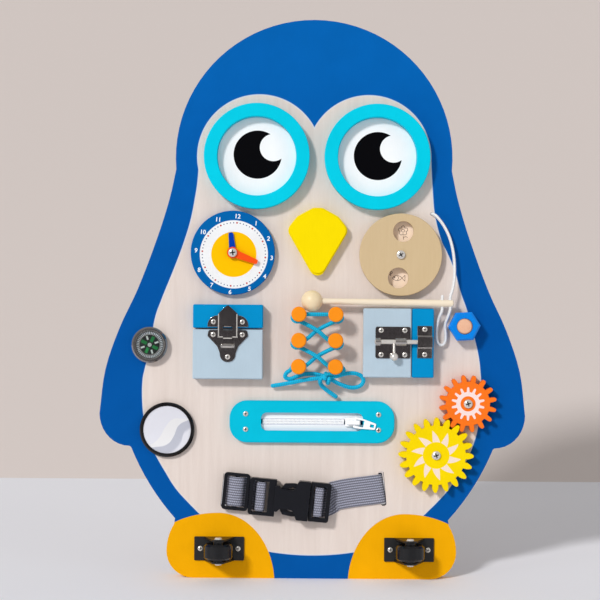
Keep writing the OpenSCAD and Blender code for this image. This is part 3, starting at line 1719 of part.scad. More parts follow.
board_panel();
eye_rings();
eye_discs();
beak();
clock_dial();
hour_hand();
minute_hand();
picture_wheel();
pivot_screws();
pivot_sleeves();
latch_block();
latch_door();
latch_catch();
latch_base();
latch_hasp();
latch_pin();
latch_door_screws();
latch_hinge_fixed();
latch_hinge_leaf();
latch_hinge_pin();
bolt_door();
bolt_block();
bolt_back_plate();
bolt_rod();
bolt_keeper();
bolt_hinge();
front_screws();
back_screws();
lacing_pegs();
lace();
mallet_stick();
mallet_ball();
mallet_cord();
wooden_bolt();
hex_nut();
zip_plate_piece();
zip_tape();
zip_teeth();
zip_slider();
zip_pull();
compass_case();
compass_card();
compass_lens();
mirror_rim_piece();
mirror_glass();
gear_large();
gear_small();
webbing_left();
webbing_right();
tri_glide();
buckle_female();
buckle_male();
strap_clamps();
caster_brackets();
caster_wheel_left();
caster_wheel_right();
caster_axles();
leg_cheeks();
leg_dowel();
stand_leg();
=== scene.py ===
"""Looks of a wooden busy board in the shape of a penguin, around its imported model."""

from __future__ import annotations

import json
import logging
import math
from dataclasses import dataclass, field
from enum import Enum
from typing import Iterable, Optional, Sequence, Union

import bmesh
import bpy
from mathutils import Matrix, Vector

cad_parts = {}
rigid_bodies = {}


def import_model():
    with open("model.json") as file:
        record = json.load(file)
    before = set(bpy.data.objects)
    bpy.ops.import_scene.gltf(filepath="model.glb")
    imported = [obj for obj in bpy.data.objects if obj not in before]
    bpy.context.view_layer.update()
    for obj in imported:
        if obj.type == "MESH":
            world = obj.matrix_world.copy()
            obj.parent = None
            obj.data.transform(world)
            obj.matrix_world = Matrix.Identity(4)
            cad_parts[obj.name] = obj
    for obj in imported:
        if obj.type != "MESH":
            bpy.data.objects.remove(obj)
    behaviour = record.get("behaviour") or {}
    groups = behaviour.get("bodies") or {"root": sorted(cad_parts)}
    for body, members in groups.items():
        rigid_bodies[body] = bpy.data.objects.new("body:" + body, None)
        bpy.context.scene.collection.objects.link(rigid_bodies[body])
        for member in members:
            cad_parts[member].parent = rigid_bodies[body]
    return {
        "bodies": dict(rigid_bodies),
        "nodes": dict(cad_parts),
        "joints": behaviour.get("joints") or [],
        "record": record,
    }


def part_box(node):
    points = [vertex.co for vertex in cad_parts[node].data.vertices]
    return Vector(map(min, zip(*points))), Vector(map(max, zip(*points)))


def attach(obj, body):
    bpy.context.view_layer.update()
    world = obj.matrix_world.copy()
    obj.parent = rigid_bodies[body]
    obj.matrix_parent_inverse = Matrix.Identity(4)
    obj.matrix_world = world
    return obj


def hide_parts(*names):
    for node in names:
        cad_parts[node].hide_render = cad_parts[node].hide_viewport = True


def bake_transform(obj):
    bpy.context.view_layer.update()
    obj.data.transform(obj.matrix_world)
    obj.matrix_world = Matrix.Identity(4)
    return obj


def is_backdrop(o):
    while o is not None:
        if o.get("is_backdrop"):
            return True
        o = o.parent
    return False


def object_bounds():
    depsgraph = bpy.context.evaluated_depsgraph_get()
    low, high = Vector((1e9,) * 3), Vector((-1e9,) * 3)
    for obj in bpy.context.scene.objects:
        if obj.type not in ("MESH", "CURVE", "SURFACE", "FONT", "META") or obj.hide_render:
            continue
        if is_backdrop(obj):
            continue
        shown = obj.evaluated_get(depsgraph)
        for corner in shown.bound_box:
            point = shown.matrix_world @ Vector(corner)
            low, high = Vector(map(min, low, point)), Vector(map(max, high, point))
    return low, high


LOG = logging.getLogger("busy_board")
LEAN = math.radians(5)
MM = 0.001
PAINT_SHINE = 0.04
Point = tuple[float, float]
Place = tuple[float, float, float]
Rgb = tuple[int, int, int]


def on_board(x: float, z: float, d: float = 0.0) -> Vector:
    """Place a point of the board's own frame in the row frame.

    Args:
        x: millimetres across the board.
        z: millimetres up the board.
        d: millimetres off the board's front.

    Returns:
        The point in metres.
    """
    c, s = math.cos(LEAN), math.sin(LEAN)
    return Vector((x, -d * c + z * s, z * c + d * s)) * MM


def turned(p: Point, degrees: float) -> Point:
    """Turn a flat point about the origin by an angle in degrees."""
    a = math.radians(degrees)
    return (p[0] * math.cos(a) - p[1] * math.sin(a), p[0] * math.sin(a) + p[1] * math.cos(a))


def linear(rgb: Rgb) -> tuple[float, float, float, float]:
    """Turn a colour of 0 to 255 per channel into the renderer's linear values.

    Args:
        rgb: the colour.

    Returns:
        Red, green, blue and an alpha of one.
    """
    def channel(v: float) -> float:
        v /= 255
        return v / 12.92 if v <= 0.04045 else ((v + 0.055) / 1.055) ** 2.4
    return (channel(rgb[0]), channel(rgb[1]), channel(rgb[2]), 1.0)


def toned(rgb: Rgb, gain: float, lift: float = 0.0) -> Rgb:
    """A colour of 0 to 255 per channel, made darker or lighter.

    Args:
        rgb: the colour.
        gain: factor on each channel.
        lift: added to each channel.

    Returns:
        The new colour.
    """
    return tuple(min(255, int(c * gain + lift)) for c in rgb)


def shell(sides: int, corners: int) -> list[tuple[int, ...]]:
    """Faces of a closed tube whose corners are numbered ring by ring.

    Args:
        sides: corners of one ring.
        corners: corners of all the rings.

    Returns:
        Two caps and the quads between the rings.
    """
    faces: list[tuple[int, ...]] = [tuple(range(sides)),
                                    tuple(range(corners - sides, corners))]
    for a in range(0, corners - sides, sides):
        for k in range(sides):
            m = (k + 1) % sides
            faces.append((a + k, a + m, a + sides + m, a + sides + k))
    return faces


def brick(n: int) -> list[tuple[int, ...]]:
    """Faces of a six-sided block whose eight corners start at number n.

    Args:
        n: the first corner: four of the back, then four of the face.

    Returns:
        The six faces.
    """
    return [(n, n + 1, n + 2, n + 3), (n + 7, n + 6, n + 5, n + 4)] + [
        (n + k, n + 4 + k, n + 4 + (k + 1) % 4, n + (k + 1) % 4) for k in range(4)]


# ---------------------------------------------------------------- shader maths
Number = Union["Num", float, int]


class Num:
    """A socket that carries one number, with Python's arithmetic."""

    def __init__(self, tree: bpy.types.NodeTree, socket: bpy.types.NodeSocket) -> None:
        """Keep the socket and the tree it belongs to."""
        self.tree = tree
        self.socket = socket

    def _math(self, operation: str, *values: Number) -> "Num":
        """Add one Math node on these values.

        Args:
            operation: the node's operation.
            values: its inputs in order.

        Returns:
            The result.
        """
        node = self.tree.nodes.new("ShaderNodeMath")
        node.operation = operation
        for slot, value in zip(node.inputs, values):
            if isinstance(value, Num):
                self.tree.links.new(value.socket, slot)
            else:
                slot.default_value = float(value)
        return Num(self.tree, node.outputs[0])

    def __add__(self, other: Number) -> "Num":
        """Sum."""
        return self._math("ADD", self, other)

    __radd__ = __add__

    def __sub__(self, other: Number) -> "Num":
        """Difference."""
        return self._math("SUBTRACT", self, other)

    def __rsub__(self, other: Number) -> "Num":
        """Difference, the other way round."""
        return self._math("SUBTRACT", other, self)

    def __mul__(self, other: Number) -> "Num":
        """Product."""
        return self._math("MULTIPLY", self, other)

    __rmul__ = __mul__

    def __truediv__(self, other: Number) -> "Num":
        """Quotient."""
        return self._math("DIVIDE", self, other)

    def __rtruediv__(self, other: Number) -> "Num":
        """Quotient, the other way round."""
        return self._math("DIVIDE", other, self)

    def __pow__(self, other: Number) -> "Num":
        """Power."""
        return self._math("POWER", self, other)

    def __abs__(self) -> "Num":
        """Size without sign."""
        return self._math("ABSOLUTE", self)

    def apply(self, operation: str, *others: Number) -> "Num":
        """Any other Math operation, with this value first."""
        return self._math(operation, self, *others)

    def below(self, limit: Number, soft: float = 0.12) -> "Num":
        """One where the value is under the limit, zero over it, with a soft edge."""
        return self._clamped((limit - self) / soft + 0.5)

    def above(self, limit: Number, soft: float = 0.12) -> "Num":
        """One where the value is over the limit, zero under it, with a soft edge."""
        return self._clamped((self - limit) / soft + 0.5)

    def _clamped(self, value: "Num") -> "Num":
        """Hold a value between zero and one."""
        value.socket.node.use_clamp = True
        return value


def away(x: Num, z: Num, at: Point = (0.0, 0.0)) -> Num:
    """Distance on the board from a point.

    Args:
        x: millimetres across.
        z: millimetres up.
        at: the point.

    Returns:
        The distance in millimetres.
    """
    across, up = x - at[0], z - at[1]
    return (across * across + up * up).apply("SQRT")


class Mixer:
    """One material under construction: its tree, its shader and its coordinates."""

    # Where the Mix node keeps its colours: two inputs and one output.
    MIX_COLOURS = (6, 7, 2)

    def __init__(self, name: str) -> None:
        """Start a material with a Principled shader.

        Args:
            name: the material's name.
        """
        self.material = bpy.data.materials.new(name)
        self.material.use_nodes = True
        self.tree = self.material.node_tree
        self.tree.nodes.clear()
        self.shader = self.tree.nodes.new("ShaderNodeBsdfPrincipled")
        out = self.tree.nodes.new("ShaderNodeOutputMaterial")
        self.tree.links.new(self.shader.outputs[0], out.inputs["Surface"])

    def feed(self, slot: bpy.types.NodeSocket, value: object) -> None:
        """Link a Num or a socket to a slot, or set the slot to a plain value.

        Args:
            slot: the input to fill.
            value: a Num, a socket or a plain value.
        """
        if isinstance(value, Num):
            value = value.socket
        if isinstance(value, bpy.types.NodeSocket):
            self.tree.links.new(value, slot)
        else:
            slot.default_value = value

    def node(self, kind: str, settings: Optional[dict] = None,
             values: Optional[dict] = None) -> bpy.types.Node:
        """Add a node.

        Args:
            kind: the node's type name.
            settings: attributes, set before the sockets.
            values: socket name or index to a plain value, a Num or a socket.

        Returns:
            The new node.
        """
        node = self.tree.nodes.new(kind)
        for key, value in (settings or {}).items():
            setattr(node, key, value)
        for key, value in (values or {}).items():
            self.feed(node.inputs[key], value)
        return node

    def set(self, **sockets: object) -> "Mixer":
        """Set the shader's own sockets, an underscore standing for a space.

        Args:
            sockets: a plain value, a Num or a socket for each.

        Returns:
            This mixer.
        """
        for key, value in sockets.items():
            self.feed(self.shader.inputs[key.replace("_", " ")], value)
        return self

    def place(self, at: Point = (0.0, 0.0), turn: float = 0.0,
              scale: Sequence[float] = (1.0, 1.0, 1.0)) -> bpy.types.NodeSocket:
        """Coordinates in millimetres of the board's frame: across, behind, up.

        Args:
            at: the point of the board that becomes the origin.
            turn: degrees that the pattern is turned, seen from the front.
            scale: stretch along the three directions, applied last.

        Returns:
            A vector socket.
        """
        coords = self.node("ShaderNodeTexCoord").outputs["Object"]
        flat = self.node("ShaderNodeMapping", {"vector_type": "POINT"}, {
            "Vector": coords, "Rotation": (LEAN, 0.0, 0.0), "Scale": (1000.0,) * 3,
            "Location": (-at[0], 0.0, -at[1])}).outputs[0]
        if not turn and tuple(scale) == (1.0, 1.0, 1.0):
            return flat
        return self.node("ShaderNodeMapping", {"vector_type": "POINT"}, {
            "Vector": flat, "Rotation": (0.0, math.radians(turn), 0.0),
            "Scale": tuple(scale)}).outputs[0]

    def split(self, vector: bpy.types.NodeSocket) -> tuple[Num, Num, Num]:
        """The three numbers of a vector."""
        out = self.node("ShaderNodeSeparateXYZ", None, {0: vector}).outputs
        return Num(self.tree, out[0]), Num(self.tree, out[1]), Num(self.tree, out[2])

    def noise(self, vector: bpy.types.NodeSocket, scale: float, detail: float = 3.0,
              rough: float = 0.5, warp: float = 0.0) -> Num:
        """Smooth noise between about 0.2 and 0.8 on a vector.

        Args:
            vector: where to read the noise.
            scale: its fineness.
            detail: finer layers on top.
            rough: weight of the finer layers.
            warp: distortion.

        Returns:
            The noise.
        """
        out = self.node("ShaderNodeTexNoise", {"noise_dimensions": "3D"}, {
            "Vector": vector, "Scale": scale, "Detail": detail, "Roughness": rough,
            "Distortion": warp})
        return Num(self.tree, out.outputs[0])

    def mix(self, factor: Number, low: object, high: object) -> bpy.types.NodeSocket:
        """Mix two colours, each a 0 to 255 colour or a colour socket.

        Args:
            factor: share of the second colour.
            low: the first colour.
            high: the second colour.

        Returns:
            The mixed colour.
        """
        low, high = (linear(c) if isinstance(c, tuple) else c for c in (low, high))
        slots = self.MIX_COLOURS
        return self.node("ShaderNodeMix", {"data_type": "RGBA"}, {
            slots[0]: low, slots[1]: high, 0: factor}).outputs[slots[2]]

    def bump(self, height: Num, depth_mm: float) -> None:
        """Raise the surface by a height of 0 to 1 times a depth in millimetres.

        Args:
            height: the height.
            depth_mm: how deep a height of one is.
        """
        out = self.node("ShaderNodeBump", None, {
            "Strength": 1.0, "Distance": depth_mm * MM, "Height": height})
        self.tree.links.new(out.outputs[0], self.shader.inputs["Normal"])

    def curve(self, value: Num, points: Sequence[Point], span: tuple[float, float],
              reach: tuple[float, float]) -> Num:
        """Look a number up on a smooth curve through points.

        Args:
            value: the number to look up.
            points: pairs of input and output, rising in their input.
            span: the lowest and highest input.
            reach: the lowest and highest output.

        Returns:
            The curve's output.
        """
        node = self.tree.nodes.new("ShaderNodeFloatCurve")
        line = node.mapping.curves[0]
        scaled = [((a - span[0]) / (span[1] - span[0]), (b - reach[0]) / (reach[1] - reach[0]))
                  for a, b in points]
        while len(line.points) < len(scaled):
            line.points.new(0.5, 0.5)
        for spot, (a, b) in zip(line.points, scaled):
            spot.location = (a, b)
        node.mapping.update()
        share = (value - span[0]) / (span[1] - span[0])
        self.tree.links.new(share.socket, node.inputs["Value"])
        return Num(self.tree, node.outputs[0]) * (reach[1] - reach[0]) + reach[0]


# ------------------------------------------------------------------- finishes
class Grain(Enum):
    """Direction that a wood's grain runs in, as stretch across, behind and up."""

    ACROSS = (0.06, 1.0, 1.0)
    UPRIGHT = (1.0, 1.0, 0.06)
    OUTWARD = (1.0, 0.06, 1.0)


class Finish:
    """A finish that makes one material."""

    name: str

    def shade(self, mixer: Mixer) -> None:
        """Set the finish on a material under construction.

        Args:
            mixer: the material under construction.
        """
        raise NotImplementedError

    def build(self) -> bpy.types.Material:
        """Make the material.

        Returns:
            The finished material.
        """
        mixer = Mixer(self.name)
        self.shade(mixer)
        return mixer.material


@dataclass(frozen=True)
class PaintedWood(Finish):
    """Satin paint that lets a trace of the grain through."""

    name: str
    colour: Rgb
    gloss: float = 0.42
    grain: Grain = Grain.UPRIGHT
    shine: float = PAINT_SHINE

    def tint(self, mixer: Mixer) -> tuple[bpy.types.NodeSocket, Num]:
        """The paint's colour and the height of its surface.

        Args:
            mixer: the material under construction.

        Returns:
            The colour and the height.
        """
        fine = mixer.noise(mixer.place(scale=self.grain.value), 1.6, 4.0, 0.6)
        broad = mixer.noise(mixer.place(), 0.035, 2.0)
        dark = toned(self.colour, 0.93)
        light = toned(self.colour, 1.03, 2)
        return mixer.mix(broad * 0.7 + fine * 0.3, dark, light), fine

    def shade(self, mixer: Mixer) -> None:
        """Set the finish.

        Args:
            mixer: the material under construction.
        """
        colour, height = self.tint(mixer)
        mixer.set(Base_Color=colour, Roughness=height * 0.12 + self.gloss - 0.06,
                  Specular_IOR_Level=self.shine)
        mixer.bump(height, 0.04)


@dataclass(frozen=True)
class BareWood(Finish):
    """Sanded, unpainted wood."""

    name: str
    pale: Rgb
    deep: Rgb
    grain: Grain = Grain.UPRIGHT
    fineness: float = 0.5
    lacquer: float = 0.0

    def tint(self, mixer: Mixer) -> tuple[bpy.types.NodeSocket, Num]:
        """The wood's colour and the height of its surface.

        Args:
            mixer: the material under construction.

        Returns:
            The colour and the height.
        """
        where = mixer.place(scale=self.grain.value)
        bands = mixer.noise(where, self.fineness * 0.35, 3.0, 0.55, 0.6)
        fibres = mixer.noise(where, self.fineness * 4.5, 4.0, 0.65)
        figure = bands * 0.75 + fibres * 0.45 - 0.1
        return mixer.mix(figure, self.deep, self.pale), fibres

    def shade(self, mixer: Mixer) -> None:
        """Set the finish.

        Args:
            mixer: the material under construction.
        """
        colour, height = self.tint(mixer)
        mixer.set(Base_Color=colour, Roughness=0.75 - self.lacquer * 0.5 - height * 0.2,
                  Specular_IOR_Level=PAINT_SHINE + self.lacquer * 0.5)
        mixer.bump(height, 0.06 - self.lacquer * 0.04)


@dataclass(frozen=True)
class Metal(Finish):
    """Plated or painted metal with fine rubbing marks and a slightly uneven face."""

    name: str
    colour: Rgb
    rough: float = 0.25
    metallic: float = 1.0
    marks: float = 0.12
    waves_mm: float = 0.0

    def shade(self, mixer: Mixer) -> None:
        """Set the finish.

        Args:
            mixer: the material under construction.
        """
        smear = mixer.noise(mixer.place(scale=(1.0, 1.0, 0.35)), 0.6, 4.0, 0.6)
        fine = mixer.noise(mixer.place(scale=(0.25, 1.0, 1.0)), 6.0, 2.0)
        waves = mixer.noise(mixer.place(), 0.16, 1.0)
        dark = toned(self.colour, 0.8)
        mixer.set(Base_Color=mixer.mix(smear, dark, self.colour), Metallic=self.metallic,
                  Roughness=self.rough + (smear - 0.5) * self.marks)
        depth = 0.012 + self.waves_mm
        mixer.bump(fine * (0.012 / depth) + waves * (self.waves_mm / depth), depth)


@dataclass(frozen=True)
class Moulding(Finish):
    """Moulded plastic or rubber."""

    name: str
    colour: Rgb
    rough: float = 0.4
    texture_mm: float = 0.02
    shine: float = 0.4

    def shade(self, mixer: Mixer) -> None:
        """Set the finish.

        Args:
            mixer: the material under construction.
        """
        broad = mixer.noise(mixer.place(), 0.12, 2.0)
        fine = mixer.noise(mixer.place(), 5.0, 2.0)
        light = toned(self.colour, 1.05, 3)
        mixer.set(Base_Color=mixer.mix(broad, self.colour, light),
                  Roughness=self.rough + (broad - 0.5) * 0.1, Specular_IOR_Level=self.shine)
        mixer.bump(fine, self.texture_mm)


@dataclass(frozen=True)
class Webbing(Finish):
    """Woven strap, on a UV map of millimetres along and across."""

    name: str
    colour: Rgb
    rib: float = 2.1
    contrast: float = 0.62

    def shade(self, mixer: Mixer) -> None:
        """Set the finish.

        Args:
            mixer: the material under construction.
        """
        uv = mixer.node("ShaderNodeUVMap", {"uv_map": "weave"}).outputs[0]
        along, across, _ = mixer.split(uv)
        rib = (across * (2 * math.pi / self.rib)).apply("COSINE")
        shift = (across * (1.0 / self.rib)).apply("ROUND") * 0.5
        pick = ((along / (self.rib * 0.75) + shift) * (2 * math.pi)).apply("COSINE")
        mottle = mixer.noise(uv, 0.9, 4.0, 0.7)
        # The dips between ribs and picks are painted darker, as painted shade, with a random
        # mottle in the tone.
        height = rib * 0.5 + pick * 0.3 + (mottle - 0.5) * 0.8 + 0.42
        dark = toned(self.colour, self.contrast)
        light = toned(self.colour, 1.12)
        mixer.set(Base_Color=mixer.mix(height, dark, light), Roughness=0.85,
                  Specular_IOR_Level=0.1)
        mixer.bump(height, 0.14)


@dataclass(frozen=True)
class Tape(Finish):
    """Zip tape: fine weave that runs across, on the board's own millimetres."""

    name: str
    colour: Rgb
    at: Point
    rib: float = 0.9
    pick: float = 0.7
    fold: Point = (5.2, 1.6)
    shadow: Rgb = (196, 204, 222)

    def shade(self, mixer: Mixer) -> None:
        """Set the finish.

        Args:
            mixer: the material under construction.
        """
        along, _, across = mixer.split(mixer.place(self.at))
        rib = (across * (2 * math.pi / self.rib)).apply("COSINE")
        pick = (along * (2 * math.pi / self.pick)).apply("COSINE")
        # Away from the middle the tape is mixed towards the shadow colour, a painted shadow;
        # the dips of its weave are painted darker, as painted shade.
        fold = abs(across).above(*self.fold)
        height = rib * 0.22 + pick * 0.14 + 0.55
        dark = toned(self.colour, 0.9)
        shade = mixer.mix(height, dark, self.colour)
        mixer.set(Base_Color=mixer.mix(fold * 0.35, shade, self.shadow), Roughness=0.9,
                  Specular_IOR_Level=0.1)
        mixer.bump(height, 0.06)


@dataclass(frozen=True)
class Braid(Finish):
    """Braided cord, on a UV map of millimetres along and turns around."""

    name: str
    colour: Rgb
    stitch: float = 1.6
    depth_mm: float = 0.16

    def shade(self, mixer: Mixer) -> None:
        """Set the finish.

        Args:
            mixer: the material under construction.
        """
        uv = mixer.node("ShaderNodeUVMap", {"uv_map": "braid"}).outputs[0]
        along, around, _ = mixer.split(uv)
        one = ((along / self.stitch + around * 4.0) * math.pi).apply("SINE")
        two = ((along / self.stitch - around * 4.0) * math.pi).apply("SINE")
        # The dips of the braid are painted darker, as painted shade.
        height = (one * two) * 0.5 + 0.5
        dark = toned(self.colour, 0.74)
        light = toned(self.colour, 1.08)
        mixer.set(Base_Color=mixer.mix(height * 0.75 + 0.25, dark, light), Roughness=0.7,
                  Specular_IOR_Level=0.2)
        mixer.bump(height, self.depth_mm)


@dataclass(frozen=True)
class Lens(Finish):
    """Clear acrylic."""

    name: str
    clear: tuple[Rgb, Rgb] = ((246, 250, 250), (252, 254, 254))

    def shade(self, mixer: Mixer) -> None:
        """Set the finish.

        Args:
            mixer: the material under construction.
        """
        haze = mixer.noise(mixer.place(), 0.08, 2.0)
        mixer.set(Base_Color=mixer.mix(haze, *self.clear),
                  Transmission_Weight=1.0, Roughness=0.02, IOR=1.2, Specular_IOR_Level=0.3)


@dataclass(frozen=True)
class SafetyMirror(Finish):
    """Silvered acrylic, with a painted reflection in its colour: an S of paler and deeper tone,
    as its slight warp shows it.
    """

    name: str
    at: Point
    pale: Rgb = (244, 245, 254)
    deep: Rgb = (206, 209, 222)
    bright: Rgb = (253, 253, 255)
    span: Point = (-22, 22)
    reach: Point = (-30, 20)
    # Curves, across and up, that bound the bands of painted reflection.
    folds: tuple[tuple[Point, ...], ...] = (
        ((-22, -15), (-14.4, -13.3), (-6.4, -6.5), (-1.5, 2.1), (4.7, 8.9), (14.5, 9.5),
         (22, 10)),
        ((-22, -15.5), (-11.3, -15.1), (1, -12), (5.9, -5.3), (9.6, 3.3), (16.3, 7.6),
         (22, 9)),
        ((-22, -24), (-8, -23), (4.7, -18.8), (12, -10.2), (14.5, -2.8), (19.4, 0.9),
         (22, 2)))

    def shade(self, mixer: Mixer) -> None:
        """Set the finish.

        Args:
            mixer: the material under construction.
        """
        x, _, z = mixer.split(mixer.place(self.at))
        # Bands of paler, brighter and deeper tone between these curves: a painted reflection.
        one, two, three = (mixer.curve(x, line, self.span, self.reach)
                           for line in self.folds)
        tone = mixer.mix((z - one).below(0, 0.5) * (z - two).above(0, 0.8), self.pale,
                         self.bright)
        tone = mixer.mix((z - two).below(0, 0.8) * (z - three).above(0, 3.0), tone, self.deep)
        haze = mixer.noise(mixer.place(), 0.08, 2.0)
        mixer.set(Base_Color=tone, Metallic=0.25, Roughness=haze * 0.05 + 0.06,
                  Specular_IOR_Level=0.3)


@dataclass(frozen=True)
class BoardFace(Finish):
    """The panel: blue and yellow paint, a bare belly, bare wood on the back."""

    name: str = "board_paint"
    wheel_at: Point = (74.8, 278.9)
    wheel_r: float = 34.0
    fresh: Rgb = (255, 232, 208)
    slots: tuple[Point, ...] = ((60.7, 78.0), (-74.7, 75.8))
    slot_half: Point = (3.4, 17.0)
    gloom: Rgb = (24, 22, 24)
    thick: float = 12.0
    fade: Point = (260.0, 440.0)
    blue: PaintedWood = PaintedWood("board_blue", (0, 97, 177), 0.45)
    deep: PaintedWood = PaintedWood("board_blue_shaded", (0, 84, 163), 0.45)
    yellow: PaintedWood = PaintedWood("board_yellow", (242, 172, 2), 0.45)
    bare: BareWood = BareWood("board_bare", (234, 223, 216), (210, 195, 186))
    line: Rgb = (214, 222, 230)
    line_half: float = 0.42
    foot_at: Point = (80.0, -5.0)
    foot_in: float = 48.5
    foot_out: float = 75.0
    foot_up: float = 61.0
    foot_mm: float = 55.0
    socket_at: Point = (47.1, 362.5)
    socket_r: float = 53.3
    belly_low: float = 20.2
    belly_sag: float = 3.5
    left: tuple[Point, ...] = (
        (0, -60), (30, -72), (57.2, -98.5), (64.1, -105.4), (77.8, -117.6), (91.6, -126.3),
        (101.9, -132.4), (110.5, -137), (120, -141), (132, -143.5), (145, -145.6),
        (170.7, -145.8), (179.3, -144.1), (196.5, -139.9), (222.3, -135.8), (239.5, -130),
        (256.7, -123.2), (273.9, -116.5), (291, -110.5), (308.3, -105.5), (325.5, -102.2),
        (342.7, -99.8), (400, -98))
    right: tuple[Point, ...] = (
        (0, 60), (30, 72), (57.2, 98.5), (67.5, 108.7), (77.8, 117.6), (91.6, 126.3),
        (101.9, 132.4), (119, 139.3), (132, 142.5), (145, 144.5), (165, 145), (179.3, 144),
        (187.9, 143.1), (205, 139.5), (213.7, 136.9), (230.9, 132.4), (248, 126.3),
        (265, 121.5), (282.5, 114.1), (291, 109.9), (316.9, 103.4), (325.5, 102.5),
        (400, 99))

    def shade(self, mixer: Mixer) -> None:
        """Set the finish.

        Args:
            mixer: the material under construction.
        """
        x, behind, z = mixer.split(mixer.place())
        front = behind.below(0.05, 0.1)
        blue, blue_h = self.blue.tint(mixer)
        deep, _ = self.deep.tint(mixer)
        # The blue is painted a darker blue towards the bottom of the panel, as painted shade.
        height = (z - self.fade[0]) / (self.fade[1] - self.fade[0])
        blue = mixer.mix(height.apply("MAXIMUM", 0.0).apply("MINIMUM", 1.0), deep, blue)
        yellow, _ = self.yellow.tint(mixer)
        bare, bare_h = self.bare.tint(mixer)
        side_l = mixer.curve(z, self.left, (0, 400), (-160, -50))
        side_r = mixer.curve(z, self.right, (0, 400), (50, 160))
        inside = (x - side_l).apply("MINIMUM", side_r - x)
        sockets = [self.socket_r - away(x, z, (s * self.socket_at[0], self.socket_at[1]))
                   for s in (-1, 1)]
        low = z - self.belly_low - (x / 40.0) ** 2.0 * self.belly_sag
        trunk = inside.apply("MINIMUM", self.socket_at[1] - z).apply("MINIMUM", low)
        belly = trunk.apply("MAXIMUM", sockets[0]).apply("MAXIMUM", sockets[1])
        out = abs(x) - self.foot_at[0]
        wide = out.above(0, 0.01) * (self.foot_out - self.foot_in) + self.foot_in
        rise = (z - self.foot_at[1]) / self.foot_up
        foot = (1 - ((out / wide) ** 2.0 + rise ** 2.0).apply("SQRT")) * self.foot_mm
        on_foot = foot.above(0)
        bare_mask = belly.above(0) * front * (1 - on_foot)
        colour = mixer.mix(on_foot, blue, yellow)
        # Under the wheel the bare wood is painted a paler, warmer peach: partly the wood's own
        # tint, partly painted light that offsets the shade inside the wheel's windows.
        fresh = away(x, z, self.wheel_at).below(self.wheel_r)
        colour = mixer.mix(bare_mask, colour, bare)
        colour = mixer.mix(fresh * front * 0.8, colour, self.fresh)
        edge = abs(belly).below(self.line_half, 0.3) * (1 - on_foot)
        colour = mixer.mix(edge * front * 0.75, colour, self.line)
        # The inner walls of the strap slots are painted near-black, as painted shade.
        for at in self.slots:
            near = abs(x - at[0]).below(self.slot_half[0]) \
                * abs(z - at[1]).below(self.slot_half[1])
            colour = mixer.mix(near * (1 - front) * 0.9, colour, self.gloom)
        back = behind.above(self.thick - 0.1, 0.1)
        colour = mixer.mix(back, colour, bare)
        mixer.set(Base_Color=colour, Roughness=0.4 + (bare_mask + back) * 0.26,
                  Specular_IOR_Level=PAINT_SHINE)
        mixer.bump(blue_h * 0.4 + bare_h * bare_mask, 0.05)


@dataclass(frozen=True)
class EyeFace(Finish):
    """White disc with a black pupil and a round glint."""

    name: str = "eye_print"
    pupils: tuple[Point, ...] = ((-48.6, 364.1), (54.7, 363.6))
    pupil_r: float = 20.7
    glint: Point = (13.5, 6.2)
    glint_r: float = 11.7
    black: Rgb = (4, 4, 7)

    def shade(self, mixer: Mixer) -> None:
        """Set the finish.

        Args:
            mixer: the material under construction.
        """
        x, _, z = mixer.split(mixer.place())
        white, height = PaintedWood("eye_white", (250, 253, 255)).tint(mixer)
        black = sum(away(x, z, at).below(self.pupil_r) for at in self.pupils)
        glint = sum(away(x, z, (px + self.glint[0], pz + self.glint[1])).below(self.glint_r)
                    for px, pz in self.pupils)
        mixer.set(Base_Color=mixer.mix(black * (1 - glint), white, self.black),
                  Roughness=0.45, Specular_IOR_Level=PAINT_SHINE)
        mixer.bump(height, 0.03)


@dataclass(frozen=True)
class ClockFace(Finish):
    """Painted rings of the dial."""

    at: Point
    name: str = "clock_print"
    outer_r: float = 29.2
    inner_r: float = 19.4
    rim: Rgb = (0, 97, 168)
    middle: Rgb = (250, 192, 0)

    def shade(self, mixer: Mixer) -> None:
        """Set the finish.

        Args:
            mixer: the material under construction.
        """
        x, _, z = mixer.split(mixer.place(self.at))
        r = away(x, z)
        white, height = PaintedWood("dial_white", (240, 242, 244)).tint(mixer)
        colour = mixer.mix(r.above(self.outer_r), white, self.rim)
        colour = mixer.mix(r.below(self.inner_r), colour, self.middle)
        mixer.set(Base_Color=colour, Roughness=0.45, Specular_IOR_Level=PAINT_SHINE)
        mixer.bump(height, 0.03)


